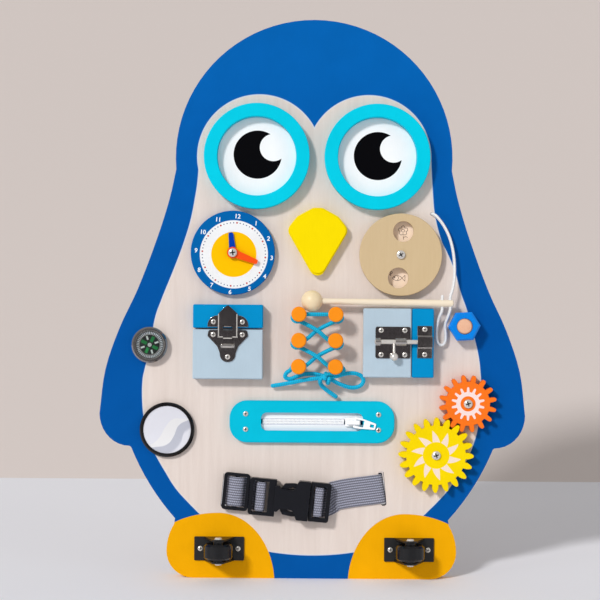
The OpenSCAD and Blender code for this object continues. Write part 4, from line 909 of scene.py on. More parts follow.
@dataclass(frozen=True)
class GearFace(Finish):
    """Painted gear whose face shows bare rays around a painted hub."""

    name: str
    colour: Rgb
    at: Point
    rays: int
    hub_r: float
    base_r: float
    tip_r: float
    face_d: float
    sweep: bool
    bare: Rgb = (247, 226, 208)
    finger: float = 0.95
    taper: float = 0.09
    lean: float = 0.78
    foot: Point = (0.06, 0.97)
    bend: Point = (0.95, 0.55)
    phase: float = 0.0

    def shade(self, mixer: Mixer) -> None:
        """Set the finish.

        Args:
            mixer: the material under construction.
        """
        x, behind, z = mixer.split(mixer.place(self.at))
        r = away(x, z)
        angle = z.apply("ARCTAN2", x) / (2 * math.pi) + 1.0 + self.phase / 360
        share = (angle * float(self.rays)).apply("FRACT")
        if self.sweep:
            reach = ((r - self.base_r) / (self.tip_r - self.base_r)).apply("MAXIMUM", 0.0)
            first, last = self.foot
            outer = reach ** self.bend[0] * (self.lean - first) + first
            inner = last - reach ** self.bend[1] * (last - self.lean)
            mask = (share - outer).above(0, 0.03) * (inner - share).above(0, 0.03)
            mask = mask * r.above(self.hub_r) * (1 - reach).above(0, 0.02)
        else:
            off = abs(share - 0.5) * (2 * math.pi / self.rays) * r
            past = (r - (self.tip_r - self.finger)).apply("MAXIMUM", 0.0)
            wide = (self.tip_r - r) * self.taper + self.finger
            finger = ((off * off + past * past).apply("SQRT") - wide).below(0)
            ring = r.below(self.base_r)
            mask = finger.apply("MAXIMUM", ring) * r.above(self.hub_r)
        paint, height = PaintedWood(self.name + "_paint", self.colour).tint(mixer)
        dark = toned(self.bare, 0.95)
        wood, _ = BareWood(self.name + "_wood", self.bare, dark).tint(mixer)
        mask = mask * (-1 * behind).above(self.face_d - 0.2)
        mixer.set(Base_Color=mixer.mix(mask, paint, wood), Roughness=mask * 0.2 + 0.42,
                  Specular_IOR_Level=PAINT_SHINE)
        mixer.bump(height, 0.04)


@dataclass(frozen=True)
class CompassFace(Finish):
    """Black card with a ring of degrees, four green and four white marks."""

    at: Point
    name: str = "compass_print"
    turn: float = 26.0
    ticks: int = 44
    tick_r: Point = (8.6, 11.4)
    green_mark: tuple[float, ...] = (0.5, 2.9, 7.7, 1.35)
    white_mark: tuple[float, ...] = (0.0, 4.6, 8.0, 0.75)
    hub_r: float = 1.7
    black: Rgb = (22, 24, 28)
    pale: Rgb = (226, 232, 238)
    green: Rgb = (4, 142, 62)
    white: Rgb = (226, 232, 228)
    hub: Rgb = (200, 205, 200)

    def shade(self, mixer: Mixer) -> None:
        """Set the finish.

        Args:
            mixer: the material under construction.
        """
        x, _, z = mixer.split(mixer.place(self.at))
        r = away(x, z)
        angle = z.apply("ARCTAN2", x) / (2 * math.pi) + 1.0 + self.turn / 360
        ticks = r.above(self.tick_r[0]) * r.below(self.tick_r[1]) \
            * (angle * float(self.ticks)).apply("FRACT").below(0.5, 0.1)
        colour = mixer.mix(ticks, self.black, self.pale)
        colour = mixer.mix(self._marks(angle, r, *self.green_mark), colour, self.green)
        colour = mixer.mix(self._marks(angle, r, *self.white_mark), colour, self.white)
        colour = mixer.mix(r.below(self.hub_r), colour, self.hub)
        mixer.set(Base_Color=colour, Roughness=0.5)

    @staticmethod
    def _marks(angle: Num, r: Num, phase: float, low: float, high: float,
               half: float) -> Num:
        """Four blunt marks around the card.

        Args:
            angle: turns around the card.
            r: distance from its middle.
            phase: quarter turns that the marks are moved on.
            low: where they start.
            high: where they end.
            half: half their width.

        Returns:
            One on the marks, zero off them.
        """
        share = (angle * 4.0 + phase).apply("FRACT")
        off = abs(share - 0.5) * (math.pi / 2) * r
        return off.below(half) * r.above(low) * r.below(high)


# -------------------------------------------------------------------- meshes
def mesh_object(name: str, points: Iterable[Sequence[float]],
                faces: Iterable[Sequence[int]]) -> bpy.types.Object:
    """Make a mesh object at the origin from points in metres.

    Args:
        name: the piece's name.
        points: corners in the row frame.
        faces: lists of corner numbers.

    Returns:
        The object, linked into the scene.
    """
    mesh = bpy.data.meshes.new(name)
    mesh.from_pydata([tuple(p) for p in points], [], [tuple(f) for f in faces])
    mesh.validate()
    obj = bpy.data.objects.new(name, mesh)
    bpy.context.scene.collection.objects.link(obj)
    return obj


def outward(obj: bpy.types.Object) -> bpy.types.Object:
    """Turn the faces of a closed mesh outwards.

    Args:
        obj: the mesh object.

    Returns:
        The same object.
    """
    work = bmesh.new()
    work.from_mesh(obj.data)
    bmesh.ops.recalc_face_normals(work, faces=work.faces)
    work.to_mesh(obj.data)
    work.free()
    return obj


def smooth(obj: bpy.types.Object, degrees: float = 35.0) -> bpy.types.Object:
    """Shade a mesh smooth, except over edges sharper than an angle.

    Args:
        obj: the mesh object.
        degrees: the angle past which an edge stays sharp.

    Returns:
        The same object.
    """
    mesh = obj.data
    mesh.polygons.foreach_set("use_smooth", [True] * len(mesh.polygons))
    mesh.set_sharp_from_angle(angle=math.radians(degrees))
    return obj


def baked(obj: bpy.types.Object) -> bpy.types.Object:
    """Turn an object with modifiers into a plain mesh.

    Args:
        obj: the object.

    Returns:
        The same object.
    """
    bpy.context.view_layer.update()
    graph = bpy.context.evaluated_depsgraph_get()
    mesh = bpy.data.meshes.new_from_object(obj.evaluated_get(graph))
    obj.modifiers.clear()
    obj.data = mesh
    return obj


def dress(obj: bpy.types.Object, body: str,
          material: Optional[bpy.types.Material] = None,
          stands_for: Sequence[str] = ()) -> bpy.types.Object:
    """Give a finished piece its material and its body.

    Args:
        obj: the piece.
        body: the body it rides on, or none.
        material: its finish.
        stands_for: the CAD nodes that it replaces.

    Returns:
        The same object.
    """
    if material is not None:
        obj.data.materials.clear()
        obj.data.materials.append(material)
    if stands_for:
        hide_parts(*stands_for)
    if body:
        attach(obj, body)
    LOG.info("%s rides on %s", obj.name, body or "two bodies")
    return obj


def spline(points: Sequence[Sequence[float]], steps: int) -> list[Vector]:
    """A smooth line through points.

    Args:
        points: the points, of any one dimension.
        steps: pieces between one point and the next.

    Returns:
        The line's points, the first and the last of the given ones included.
    """
    spots = [Vector(p) for p in points]
    line: list[Vector] = []
    for i in range(len(spots) - 1):
        b, c = spots[i], spots[i + 1]
        span = (c - b).length
        v0 = (c - spots[max(i - 1, 0)]).normalized() * span
        v1 = (spots[min(i + 2, len(spots) - 1)] - b).normalized() * span
        for k in range(steps):
            t = k / steps
            line.append(b + v0 * t + (3 * (c - b) - 2 * v0 - v1) * t * t
                        + (v0 + v1 - 2 * (c - b)) * t ** 3)
    return line + [spots[-1]]


def even(line: Sequence[Vector], gap: float) -> list[Vector]:
    """Points along a line at one even spacing close to gap.

    Args:
        line: the points to follow.
        gap: the spacing wanted.

    Returns:
        The new points.
    """
    lengths = [0.0]
    for one, two in zip(line, line[1:]):
        lengths.append(lengths[-1] + (two - one).length)
    count = max(2, round(lengths[-1] / gap))
    out, at = [], 0
    for k in range(count + 1):
        want = lengths[-1] * k / count
        while at < len(line) - 2 and lengths[at + 1] < want:
            at += 1
        span = lengths[at + 1] - lengths[at] or 1.0
        out.append(line[at].lerp(line[at + 1], min(1.0, (want - lengths[at]) / span)))
    return out


def laid(route: Sequence[Place]) -> list[Vector]:
    """An evenly spaced smooth line through places of the board in millimetres."""
    return even(spline([on_board(*p) for p in route], 6), 0.9 * MM)


def run_length(line: Sequence[Vector]) -> float:
    """Length of a line of points."""
    return sum((two - one).length for one, two in zip(line, line[1:]))


def rope(name: str, line: Sequence[Vector], radius: float, sides: int = 14
         ) -> bpy.types.Object:
    """A round cord with domed ends and a UV map of millimetres along and turns around.

    Args:
        name: the piece's name.
        line: its centreline in metres.
        radius: in metres.
        sides: corners around it.

    Returns:
        The cord's mesh object.
    """
    tangents = [(line[min(i + 1, len(line) - 1)] - line[max(i - 1, 0)]).normalized()
                for i in range(len(line))]
    normal = tangents[0].orthogonal().normalized()
    first, last = tangents[0], tangents[-1]
    rings: list[tuple[Vector, Vector, Vector, float, float]] = []
    along = 0.0
    for back, size in ((-0.86, 0.5), (-0.5, 0.86)):
        rings.append((line[0] + first * back * radius, first, normal, size, back * radius))
    for i, (spot, tangent) in enumerate(zip(line, tangents)):
        if i:
            along += (spot - line[i - 1]).length
            normal = (normal - tangent * normal.dot(tangent)).normalized()
        rings.append((spot, tangent, normal, 1.0, along))
    for ahead, size in ((0.5, 0.86), (0.86, 0.5)):
        rings.append((line[-1] + last * ahead * radius, last, normal, size,
                      along + ahead * radius))
    points, marks = [line[0] - first * radius], [-radius]
    for spot, tangent, up, size, where in rings:
        side = tangent.cross(up)
        for k in range(sides):
            a = 2 * math.pi * k / sides
            points.append(spot + (up * math.cos(a) + side * math.sin(a)) * radius * size)
        marks.append(where)
    points.append(line[-1] + last * radius)
    faces: list[tuple[int, ...]] = []
    end = len(points) - 1
    for k in range(sides):
        m = (k + 1) % sides
        faces.append((0, 1 + m, 1 + k))
        faces.append((end, end - sides + k, end - sides + m))
        for ring in range(len(rings) - 1):
            a = 1 + ring * sides
            faces.append((a + k, a + m, a + sides + m, a + sides + k))
    obj = outward(mesh_object(name, points, faces))
    layer = obj.data.uv_layers.new(name="braid")
    for face in obj.data.polygons:
        turns = [((v - 1) % sides) / sides for v in face.vertices]
        wraps = max(turns) - min(turns) > 0.5
        for loop, vertex, turn in zip(face.loop_indices, face.vertices, turns):
            ring = min(max((vertex - 1) // sides, 0), len(rings) - 1)
            layer.data[loop].uv = (marks[ring + 1] / MM,
                                   turn + 1 if wraps and turn < 0.5 else turn)
    return smooth(obj, 80)


def band(name: str, line: Sequence[Vector], across: Sequence[Vector],
         profile: Sequence[Point]) -> bpy.types.Object:
    """A flat strap with a UV map of millimetres along and across.

    Args:
        name: the piece's name.
        line: its centreline in metres.
        across: the direction of its width at each point.
        profile: its section, as millimetres across and through, once around.

    Returns:
        The strap's mesh object.
    """
    points, marks, along, count = [], [], 0.0, len(profile)
    for i, (spot, wide) in enumerate(zip(line, across)):
        if i:
            along += (spot - line[i - 1]).length
        tangent = (line[min(i + 1, len(line) - 1)] - line[max(i - 1, 0)]).normalized()
        wide = (wide - tangent * wide.dot(tangent)).normalized()
        thick = tangent.cross(wide)
        marks.append(along / MM)
        points += [spot + (wide * v + thick * t) * MM for v, t in profile]
    obj = outward(mesh_object(name, points, shell(count, len(points))))
    layer = obj.data.uv_layers.new(name="weave")
    for loop in obj.data.loops:
        ring, k = divmod(loop.vertex_index, count)
        layer.data[loop.index].uv = (marks[ring], profile[k][0])
    return smooth(obj, 50)


def repeated(name: str, unit: bpy.types.Object,
             spots: Sequence[tuple[Place, float, float]],
             material: bpy.types.Material) -> bpy.types.Object:
    """Set one small shape at many places of the board with Geometry Nodes.

    Args:
        name: the piece's name.
        unit: the shape, in metres, drawn for an upright board; it is used up.
        spots: places as millimetres across, up and off the board, each with a clockwise
            turn in degrees and a scale.
        material: the finish.

    Returns:
        One mesh object that holds them all.
    """
    obj = mesh_object(name, [(x * MM, -d * MM, z * MM) for (x, z, d), _, _ in spots], [])
    turn = obj.data.attributes.new("turn", "FLOAT", "POINT")
    turn.data.foreach_set("value", [math.radians(a) for _, a, _ in spots])
    scale = obj.data.attributes.new("size", "FLOAT", "POINT")
    scale.data.foreach_set("value", [size for _, _, size in spots])
    tree = bpy.data.node_groups.new(name, "GeometryNodeTree")
    sockets = {}
    for label, kind in (("Geometry", "NodeSocketGeometry"), ("Shape", "NodeSocketObject"),
                        ("Lean", "NodeSocketFloat"),
                        ("Finish", "NodeSocketMaterial")):
        sockets[label] = tree.interface.new_socket(label, in_out="INPUT", socket_type=kind)
    tree.interface.new_socket("Geometry", in_out="OUTPUT", socket_type="NodeSocketGeometry")

    def add(kind: str, **settings: object) -> bpy.types.Node:
        """Add a node with its settings."""
        node = tree.nodes.new(kind)
        for key, value in settings.items():
            setattr(node, key, value)
        return node

    given = add("NodeGroupInput")
    values = []
    for label in ("turn", "size"):
        named = add("GeometryNodeInputNamedAttribute", data_type="FLOAT")
        named.inputs["Name"].default_value = label
        values.append(next(o for o in named.outputs if o.enabled and o.name == "Attribute"))
    spin, tilt = add("ShaderNodeCombineXYZ"), add("ShaderNodeCombineXYZ")
    shape = add("GeometryNodeObjectInfo", transform_space="ORIGINAL")
    place = add("GeometryNodeInstanceOnPoints")
    real, lean = add("GeometryNodeRealizeInstances"), add("GeometryNodeTransform")
    paint, out = add("GeometryNodeSetMaterial"), add("NodeGroupOutput")
    for a, b in ((given.outputs["Geometry"], place.inputs["Points"]),
                 (given.outputs["Shape"], shape.inputs["Object"]),
                 (shape.outputs["Geometry"], place.inputs["Instance"]),
                 (values[0], spin.inputs["Y"]), (spin.outputs[0], place.inputs["Rotation"]),
                 (values[1], place.inputs["Scale"]),
                 (place.outputs["Instances"], real.inputs["Geometry"]),
                 (real.outputs["Geometry"], lean.inputs["Geometry"]),
                 (given.outputs["Lean"], tilt.inputs["X"]),
                 (tilt.outputs[0], lean.inputs["Rotation"]),
                 (lean.outputs["Geometry"], paint.inputs["Geometry"]),
                 (given.outputs["Finish"], paint.inputs["Material"]),
                 (paint.outputs["Geometry"], out.inputs["Geometry"])):
        tree.links.new(a, b)
    grow = obj.modifiers.new("repeat", "NODES")
    grow.node_group = tree
    for label, given_value in (("Shape", unit), ("Lean", -LEAN), ("Finish", material)):
        grow[sockets[label].identifier] = given_value
    baked(obj)
    bpy.data.objects.remove(unit, do_unlink=True)
    return obj


def drum(name: str, radius: float, low: float, high: float, sides: int
         ) -> bpy.types.Object:
    """A small disc for an upright board, its axis off the board, in millimetres.

    Args:
        name: the piece's name.
        radius: of the disc.
        low: its back, off the board's front.
        high: its face.
        sides: corners around it.

    Returns:
        The mesh object.
    """
    points = [(radius * math.cos(2 * math.pi * k / sides) * MM, -d * MM,
               radius * math.sin(2 * math.pi * k / sides) * MM)
              for d in (low, high) for k in range(sides)]
    return outward(mesh_object(name, points, shell(sides, len(points))))


def strokes(name: str, lines: Sequence[Sequence[Point]], width: float, low: float,
            high: float) -> bpy.types.Object:
    """Drawn lines on the board as thin closed bars.

    Args:
        name: the piece's name.
        lines: each a run of points of the board in millimetres.
        width: of the lines, in millimetres.
        low: their back, in millimetres off the board's front.
        high: their face.

    Returns:
        The mesh object.
    """
    points, faces, past = [], [], 0.7
    for line in lines:
        for (ax, az), (bx, bz) in zip(line, line[1:]):
            long = math.hypot(bx - ax, bz - az) or 1.0
            ux, uz = (bx - ax) / long * width / 2, (bz - az) / long * width / 2
            sx, sz, ex, ez = ax - ux * past, az - uz * past, bx + ux * past, bz + uz * past
            flat = [(sx - uz, sz + ux), (sx + uz, sz - ux), (ex + uz, ez - ux),
                    (ex - uz, ez + ux)]
            faces += brick(len(points))
            points += [on_board(x, z, d) for d in (low, high) for x, z in flat]
    return outward(mesh_object(name, points, faces))


def bow(x: float, z: float, r: float, start: float = 0.0, end: float = 360.0,
        squeeze: float = 1.0) -> list[Point]:
    """An arc as a run of points, from one angle to another.

    Args:
        x: the middle, across.
        z: the middle, up.
        r: radius.
        start: first angle in degrees.
        end: last angle.
        squeeze: height over width.

    Returns:
        The points.
    """
    count = max(4, int(abs(end - start) / 22))
    return [(x + r * math.cos(math.radians(start + (end - start) * k / count)),
             z + r * squeeze * math.sin(math.radians(start + (end - start) * k / count)))
            for k in range(count + 1)]


class Frame:
    """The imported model: its nodes, and which body and slot each belongs to."""

    print_off: Point = (0.9, -1.4)
    weld: float = 2e-6
    head_rise: float = 0.62
    flat_angle: float = 1.5
    edge_angle: float = 32.0

    def __init__(self) -> None:
        """Load the frame and note the box it fills."""
        self.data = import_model()
        self.box = [list(map(float, corner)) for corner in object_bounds()]
        record = self.data["record"]
        self.body_of = {n: b for b, ns in record["behaviour"]["bodies"].items() for n in ns}
        self.slot_of = {s["node"]: s["material_slot"] for s in record["subparts"]}
        self.pins = {j["name"]: j["pos_m"] for j in record["behaviour"]["joints"]}

    @staticmethod
    def flat(point: Sequence[float]) -> Place:
        """A point of the row frame as millimetres across, up and off the board.

        Args:
            point: a point in metres.

        Returns:
            The three millimetres.
        """
        x, y, z = (v / MM for v in point)
        c, s = math.cos(LEAN), math.sin(LEAN)
        return (x, z * c + y * s, z * s - y * c)

    def pin(self, joint: str) -> Point:
        """Where a joint's axis meets the board."""
        return self.flat(self.pins[joint])[:2]

    def print_at(self) -> Point:
        """The middle of the print on the dial, a little off the dial's own."""
        x, z = self.pin("hour_hand_turn")
        return (x + self.print_off[0], z + self.print_off[1])

    def middle(self, node: str) -> Point:
        """The middle of a CAD node on the board."""
        low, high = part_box(node)
        return self.flat((low + high) / 2)[:2]

    def face(self, node: str) -> float:
        """How far a CAD node's face stands off the board's front."""
        return max(self.flat(v.co)[2] for v in self.data["nodes"][node].data.vertices)

    def heads(self, node: str) -> list[tuple[Place, float]]:
        """The underside's middle and the radius of every screw head of a CAD node.

        Args:
            node: the CAD node.

        Returns:
            Each head's place and radius, in millimetres.
        """
        work = bmesh.new()
        work.from_mesh(self.data["nodes"][node].data)
        bmesh.ops.remove_doubles(work, verts=work.verts, dist=self.weld)
        found, seen = [], set()
        for seed in work.verts:
            if seed in seen:
                continue
            group, queue = [], [seed]
            seen.add(seed)
            while queue:
                vertex = queue.pop()
                group.append(self.flat(vertex.co))
                for edge in vertex.link_edges:
                    other = edge.other_vert(vertex)
                    if other not in seen:
                        seen.add(other)
                        queue.append(other)
            low = [min(p[k] for p in group) for k in range(3)]
            high = [max(p[k] for p in group) for k in range(3)]
            radius = (high[0] - low[0]) / 2
            found.append((((low[0] + high[0]) / 2, (low[1] + high[1]) / 2,
                           high[2] - self.head_rise * radius), radius))
        work.free()
        return found

    def paint(self, node: str, material: bpy.types.Material) -> None:
        """Give a CAD node its finish.

        Args:
            node: the CAD node.
            material: its finish.
        """
        obj = self.data["nodes"][node]
        if not obj.material_slots:
            obj.data.materials.append(None)
        for index in range(len(obj.material_slots)):
            obj.material_slots[index].link = "OBJECT"
            obj.material_slots[index].material = material
        LOG.info("%s takes %s", node, material.name)

    def eased(self, node: str, width_mm: float, material: bpy.types.Material,
              segments: int = 2) -> bpy.types.Object:
        """Replace a CAD node by a copy of it with its edges eased.

        Args:
            node: the node to copy.
            width_mm: how far each edge is taken back.
            material: the copy's finish.
            segments: faces across each eased edge.

        Returns:
            The copy, which rides as the node does.
        """
        source = self.data["nodes"][node]
        mesh = source.data.copy()
        mesh.transform(source.matrix_world)
        work = bmesh.new()
        work.from_mesh(mesh)
        bmesh.ops.remove_doubles(work, verts=work.verts, dist=self.weld)
        bmesh.ops.dissolve_limit(work, angle_limit=math.radians(self.flat_angle),
                                 verts=work.verts, edges=work.edges)
        work.to_mesh(mesh)
        work.free()
        if "custom_normal" in mesh.attributes:
            mesh.attributes.remove(mesh.attributes["custom_normal"])
        obj = bpy.data.objects.new(node + "_eased", mesh)
        bpy.context.scene.collection.objects.link(obj)
        bevel = obj.modifiers.new("ease", "BEVEL")
        bevel.width = width_mm * MM
        bevel.segments = segments
        bevel.limit_method = "ANGLE"
        bevel.angle_limit = math.radians(self.edge_angle)
        bevel.use_clamp_overlap = True
        baked(obj)
        smooth(obj, 40)
        even_faces = obj.modifiers.new("even", "WEIGHTED_NORMAL")
        even_faces.keep_sharp = True
        even_faces.weight = 90
        baked(obj)
        return dress(obj, self.body_of[node], material, (node,))


# --------------------------------------------------------------------- cords
@dataclass
class Lace:
    """The lace: through the pegs in crossed runs, and tied in a bow below them."""

    width: float = 3.6
    low_z: float = 182.8
    pitch: float = 22.3
    peg_x: Point = (-12.1, 19.3)
    mid_x: float = 3.6
    eye_d: float = 13.2
    start: tuple[Place, ...] = (
        (-34.2, 165.8, 4.5), (-27, 167, 5.5), (-18, 168.8, 8), (-8, 171, 11.5),
        (2, 172.6, 13), (11, 173.6, 13.2), (20, 174.6, 11), (30, 177, 8.5), (38, 176.6, 6.5),
        (43.4, 172.4, 5.5), (41.5, 166.8, 5), (33.5, 164.8, 5.5), (23, 168, 7.5),
        (13, 173, 9), (4, 176, 8.4), (-6, 176.2, 7.6), (-13.5, 174, 6.8),
        (-19.5, 171.8, 6.4), (-23.4, 173.4, 7), (-22.4, 177, 8.6), (-19, 179.6, 11.4))
    end: tuple[Place, ...] = (
        (26.5, 179.6, 12.4), (22.5, 176.4, 11.6), (16, 176.6, 14.6), (10, 175.4, 16.6),
        (6.6, 171.6, 16), (7, 167.6, 11.5), (11.5, 163, 7.5), (16, 159.8, 6),
        (20, 157, 5))
    knot_at: Place = (12.2, 172.8, 12.4)
    knot_r: Point = (4.0, 5.4)
    knot_half: float = 1.9
    knot_steps: int = 28
    around: tuple[Place, ...] = (
        (-3, 0, 0), (-5.1, -1.7, 0), (-5, -4.4, -1), (-2.4, -6.2, -1), (1, -6.2, -0.5))

    def _eye(self, side: int, row: int, inner: float) -> list[Place]:
        """A point in or beside a peg's eye."""
        return [(self.peg_x[side > 0] - side * inner, self.low_z + row * self.pitch,
                 self.eye_d)]

    def _cross(self, row: int, d: float) -> list[Place]:
        """The middle of a crossing between two rows."""
        return [(self.mid_x, self.low_z + (row + 0.5) * self.pitch - 2.6, d)]

    def _wrap(self, side: int, row: int, back: bool) -> list[Place]:
        """Round the outside of a peg.

        Args:
            side: -1 for the left column, 1 for the right.
            row: the row, from below.
            back: whether the run goes up.

        Returns:
            The points.
        """
        run = [(self.peg_x[side > 0] - side * w[0], self.low_z + row * self.pitch + w[1],
                self.eye_d + w[2]) for w in self.around]
        return run[::-1] if back else run

    def route(self) -> list[Place]:
        """Every point that the lace passes, from one tip to the other.

        Returns:
            The places in order.
        """
        eye, cross, wrap = self._eye, self._cross, self._wrap
        return (list(self.start) + eye(-1, 0, -4.6) + eye(-1, 0, 0) + eye(-1, 0, 5)
                + cross(0, 11.2) + wrap(1, 1, True) + eye(1, 1, 0) + eye(1, 1, 5)
                + cross(1, 15) + wrap(-1, 2, True) + eye(-1, 2, 0) + eye(-1, 2, 6)
                + eye(1, 2, 6) + eye(1, 2, 0) + wrap(1, 2, False) + cross(1, 11.2)
                + eye(-1, 1, 5) + eye(-1, 1, 0) + wrap(-1, 1, False) + cross(0, 15)
                + eye(1, 0, 5) + eye(1, 0, 0) + eye(1, 0, -4.6) + list(self.end))

    def build(self, material: bpy.types.Material) -> None:
        """Make the lace and its knot.

        Args:
            material: the braid's finish.
        """
        line = laid(self.route())
        obj = rope("lace_braided", line, self.width / 2 * MM)
        dress(obj, "board", material, ("lace",))
        x, z, d = self.knot_at
        angles = [2 * math.pi * k / self.knot_steps for k in range(self.knot_steps + 1)]
        turn = [on_board(x + self.knot_half * (a / math.pi - 1),
                         z + self.knot_r[0] * math.sin(a), d + self.knot_r[1] * math.cos(a))
                for a in angles]
        knot = rope("lace_knot", turn, self.width / 2 * MM)
        dress(knot, "board", material)
        run_length(line)
        self.width * MM
        LOG.info("lace: %.0f mm", run_length(line) / MM)


@dataclass
class MalletCord:
    """The white cord from the hole in the panel down and back up to the mallet's end."""

    width: float = 2.6
    still: Place = (104, 310, 0)
    moving: Place = (112, 246, 11.5)
    route: tuple[Place, ...] = (
        (101.7, 314.2, -15), (101.7, 314.2, -7), (101.8, 314.2, 0), (102.8, 314, 3),
        (105.5, 312, 5), (111.6, 304, 5.5), (116.5, 294, 6), (119.5, 282.5, 6.5),
        (120.8, 270.5, 7), (120.6, 259, 8.5), (119, 249.5, 10.8), (117, 243, 11.5),
        (117, 237.5, 11.5), (117, 232.2, 11.5), (115.2, 225.5, 8.8), (113.3, 219, 5.6),
        (114, 210, 4), (113, 203.5, 4), (109.8, 201.6, 4), (106.6, 205, 4),
        (106.2, 215, 4.2), (107.6, 224, 7), (110.1, 231.5, 11.3), (110.2, 234.5, 11.5),
        (110.2, 239, 11.5), (110.2, 243.5, 11.5))

    def build(self, material: bpy.types.Material) -> None:
        """Make the cord between the board and the mallet.

        Args:
            material: the braid's finish.
        """
        line = laid(self.route)
        obj = rope("mallet_cord_braided", line, self.width / 2 * MM, 12)
        dress(obj, "", material, ("mallet_cord",))
        run_length(line)
        self.width * MM
        on_board(*self.still)
        on_board(*self.moving)
        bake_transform(obj)
        LOG.info("mallet cord: %.0f mm", run_length(line) / MM)


# -------------------------------------------------------------------- straps
@dataclass
class Strap:
    """Grey webbing, in two lengths that end on the buckle's bars."""

    width: float = 25.0
    thickness: float = 1.3
    rib: float = 1.3
    rib_depth: float = 0.1
    glide_at: Point = (-65.0, 74.9)
    buckle_at: Point = (-19.0, 68.8)
    right_at: Point = (5.9, 66.53)
    skew: float = 2.8
    bar_u: float = 25.0
    tilt: float = -5.2
    slot_left_x: float = -74.7
    slot_right: Point = (60.7, 78.0)
    tail_d: float = -12.9
    lean: float = 0.9
    loop: tuple[Point, ...] = (
        (1, 4.9), (-2.4, 4.9), (-3.6, 7.2), (-2.4, 9.5), (0, 9.7), (2.4, 9.5), (3.6, 7.2),
        (4.2, 3.8), (6.6, 1.5))

    def _profile(self) -> list[Point]:
        """The webbing's section: fine ribs on both faces and rounded edges.

        Returns:
            Millimetres across and through, once around.
        """
        half, edge = self.thickness / 2, self.width / 2
        count = int((self.width - 1.2) / self.rib * 4)
        top = []
        for k in range(count + 1):
            v = -edge + 0.5 + (self.width - 1.0) * k / count
            dip = (1 - math.cos(2 * math.pi * v / self.rib)) / 2 * self.rib_depth
            top.append((v, half - dip))
        side = [(edge - 0.12, half * 0.6), (edge, 0.0), (edge - 0.12, -half * 0.6)]
        low = [(-v, -t) for v, t in top]
        return top + side + low + [(-v, -t) for v, t in side]

    def _run(self, at: Point, turn: float, points: Sequence[Point], mirror: bool = False
             ) -> tuple[list[Vector], list[Vector]]:
        """Points of one stretch in the row frame, with the webbing's own width.

        Args:
            at: the stretch's origin on the board.
            turn: its angle in degrees.
            points: distance along it and off the board.
            mirror: whether it runs the other way.

        Returns:
            The points and the direction of the width at each.
        """
        spots, across = [], []
        for u, d in points:
            x, z = turned(((-u if mirror else u), 0.0), turn)
            spots.append(on_board(at[0] + x, at[1] + z, d))
            vx, vz = turned((0.0, 1.0), turn)
            across.append((on_board(vx, vz) - on_board(0, 0)).normalized())
        return spots, across

    def _sweep(self, name: str, stretches: Sequence[tuple[list[Vector], list[Vector]]]
               ) -> bpy.types.Object:
        """One length of webbing along its stretches.

        Args:
            name: the piece's name.
            stretches: each the points and their widths.

        Returns:
            The webbing.
        """
        spots = [p for stretch in stretches for p in stretch[0]]
        wide = [v for stretch in stretches for v in stretch[1]]
        line = spline(spots, 5)
        across = [wide[min(i // 5, len(wide) - 1)].lerp(
            wide[min(i // 5 + 1, len(wide) - 1)], (i % 5) / 5) for i in range(len(line))]
        LOG.info("%s: %.0f mm of webbing", name, run_length(line) / MM)
        return band(name, line, across, self._profile())

    def build(self, material: bpy.types.Material) -> None:
        """Make both lengths.

        Args:
            material: the webbing's finish.
        """
        s = self.slot_left_x - self.glide_at[0]
        start = self._run(self.glide_at, self.tilt, (
            (s + 20, self.tail_d), (s + 4, self.tail_d), (s + 1.2, self.tail_d + 0.4),
            (s, self.tail_d + 2), (s, -1.5), (s + 1.2, 0.8), (-7.6, 1.8), (-5.4, 5.2),
            (-2.6, 6.8), (2.6, 6.8), (5.4, 5.2), (7.2, 1.8)))
        bar = turned((-self.bar_u, 0.0), self.tilt)
        bar_at = (self.buckle_at[0] + bar[0], self.buckle_at[1] + bar[1])
        end = self._run(bar_at, self.tilt, self.loop[::-1], True)
        left = self._sweep("webbing_left_woven", (start, end))
        dress(left, "board", material, ("webbing_left",))
        ahead = (self.right_at[0], self.right_at[1] + self.skew)
        dx, dz = self.slot_right[0] - ahead[0], self.slot_right[1] - ahead[1]
        span, turn = math.hypot(dx, dz), math.degrees(math.atan2(dz, dx))
        start = self._run(self.right_at, self.tilt, self.loop)
        end = self._run(ahead, turn, (
            (14, 1.35), (span - 4, 1.2), (span - 0.6, 0.5), (span + self.lean, -1.5),
            (span + self.lean, self.tail_d + 2), (span - 1.2, self.tail_d + 0.4),
            (span - 4, self.tail_d), (span - 19, self.tail_d)))
        right = self._sweep("webbing_right_woven", (start, end))
        dress(right, "", material, ("webbing_right",))
        on_board(*self.right_at, 5)
        on_board(self.slot_right[0] - 3, self.slot_right[1], 1)
        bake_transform(right)


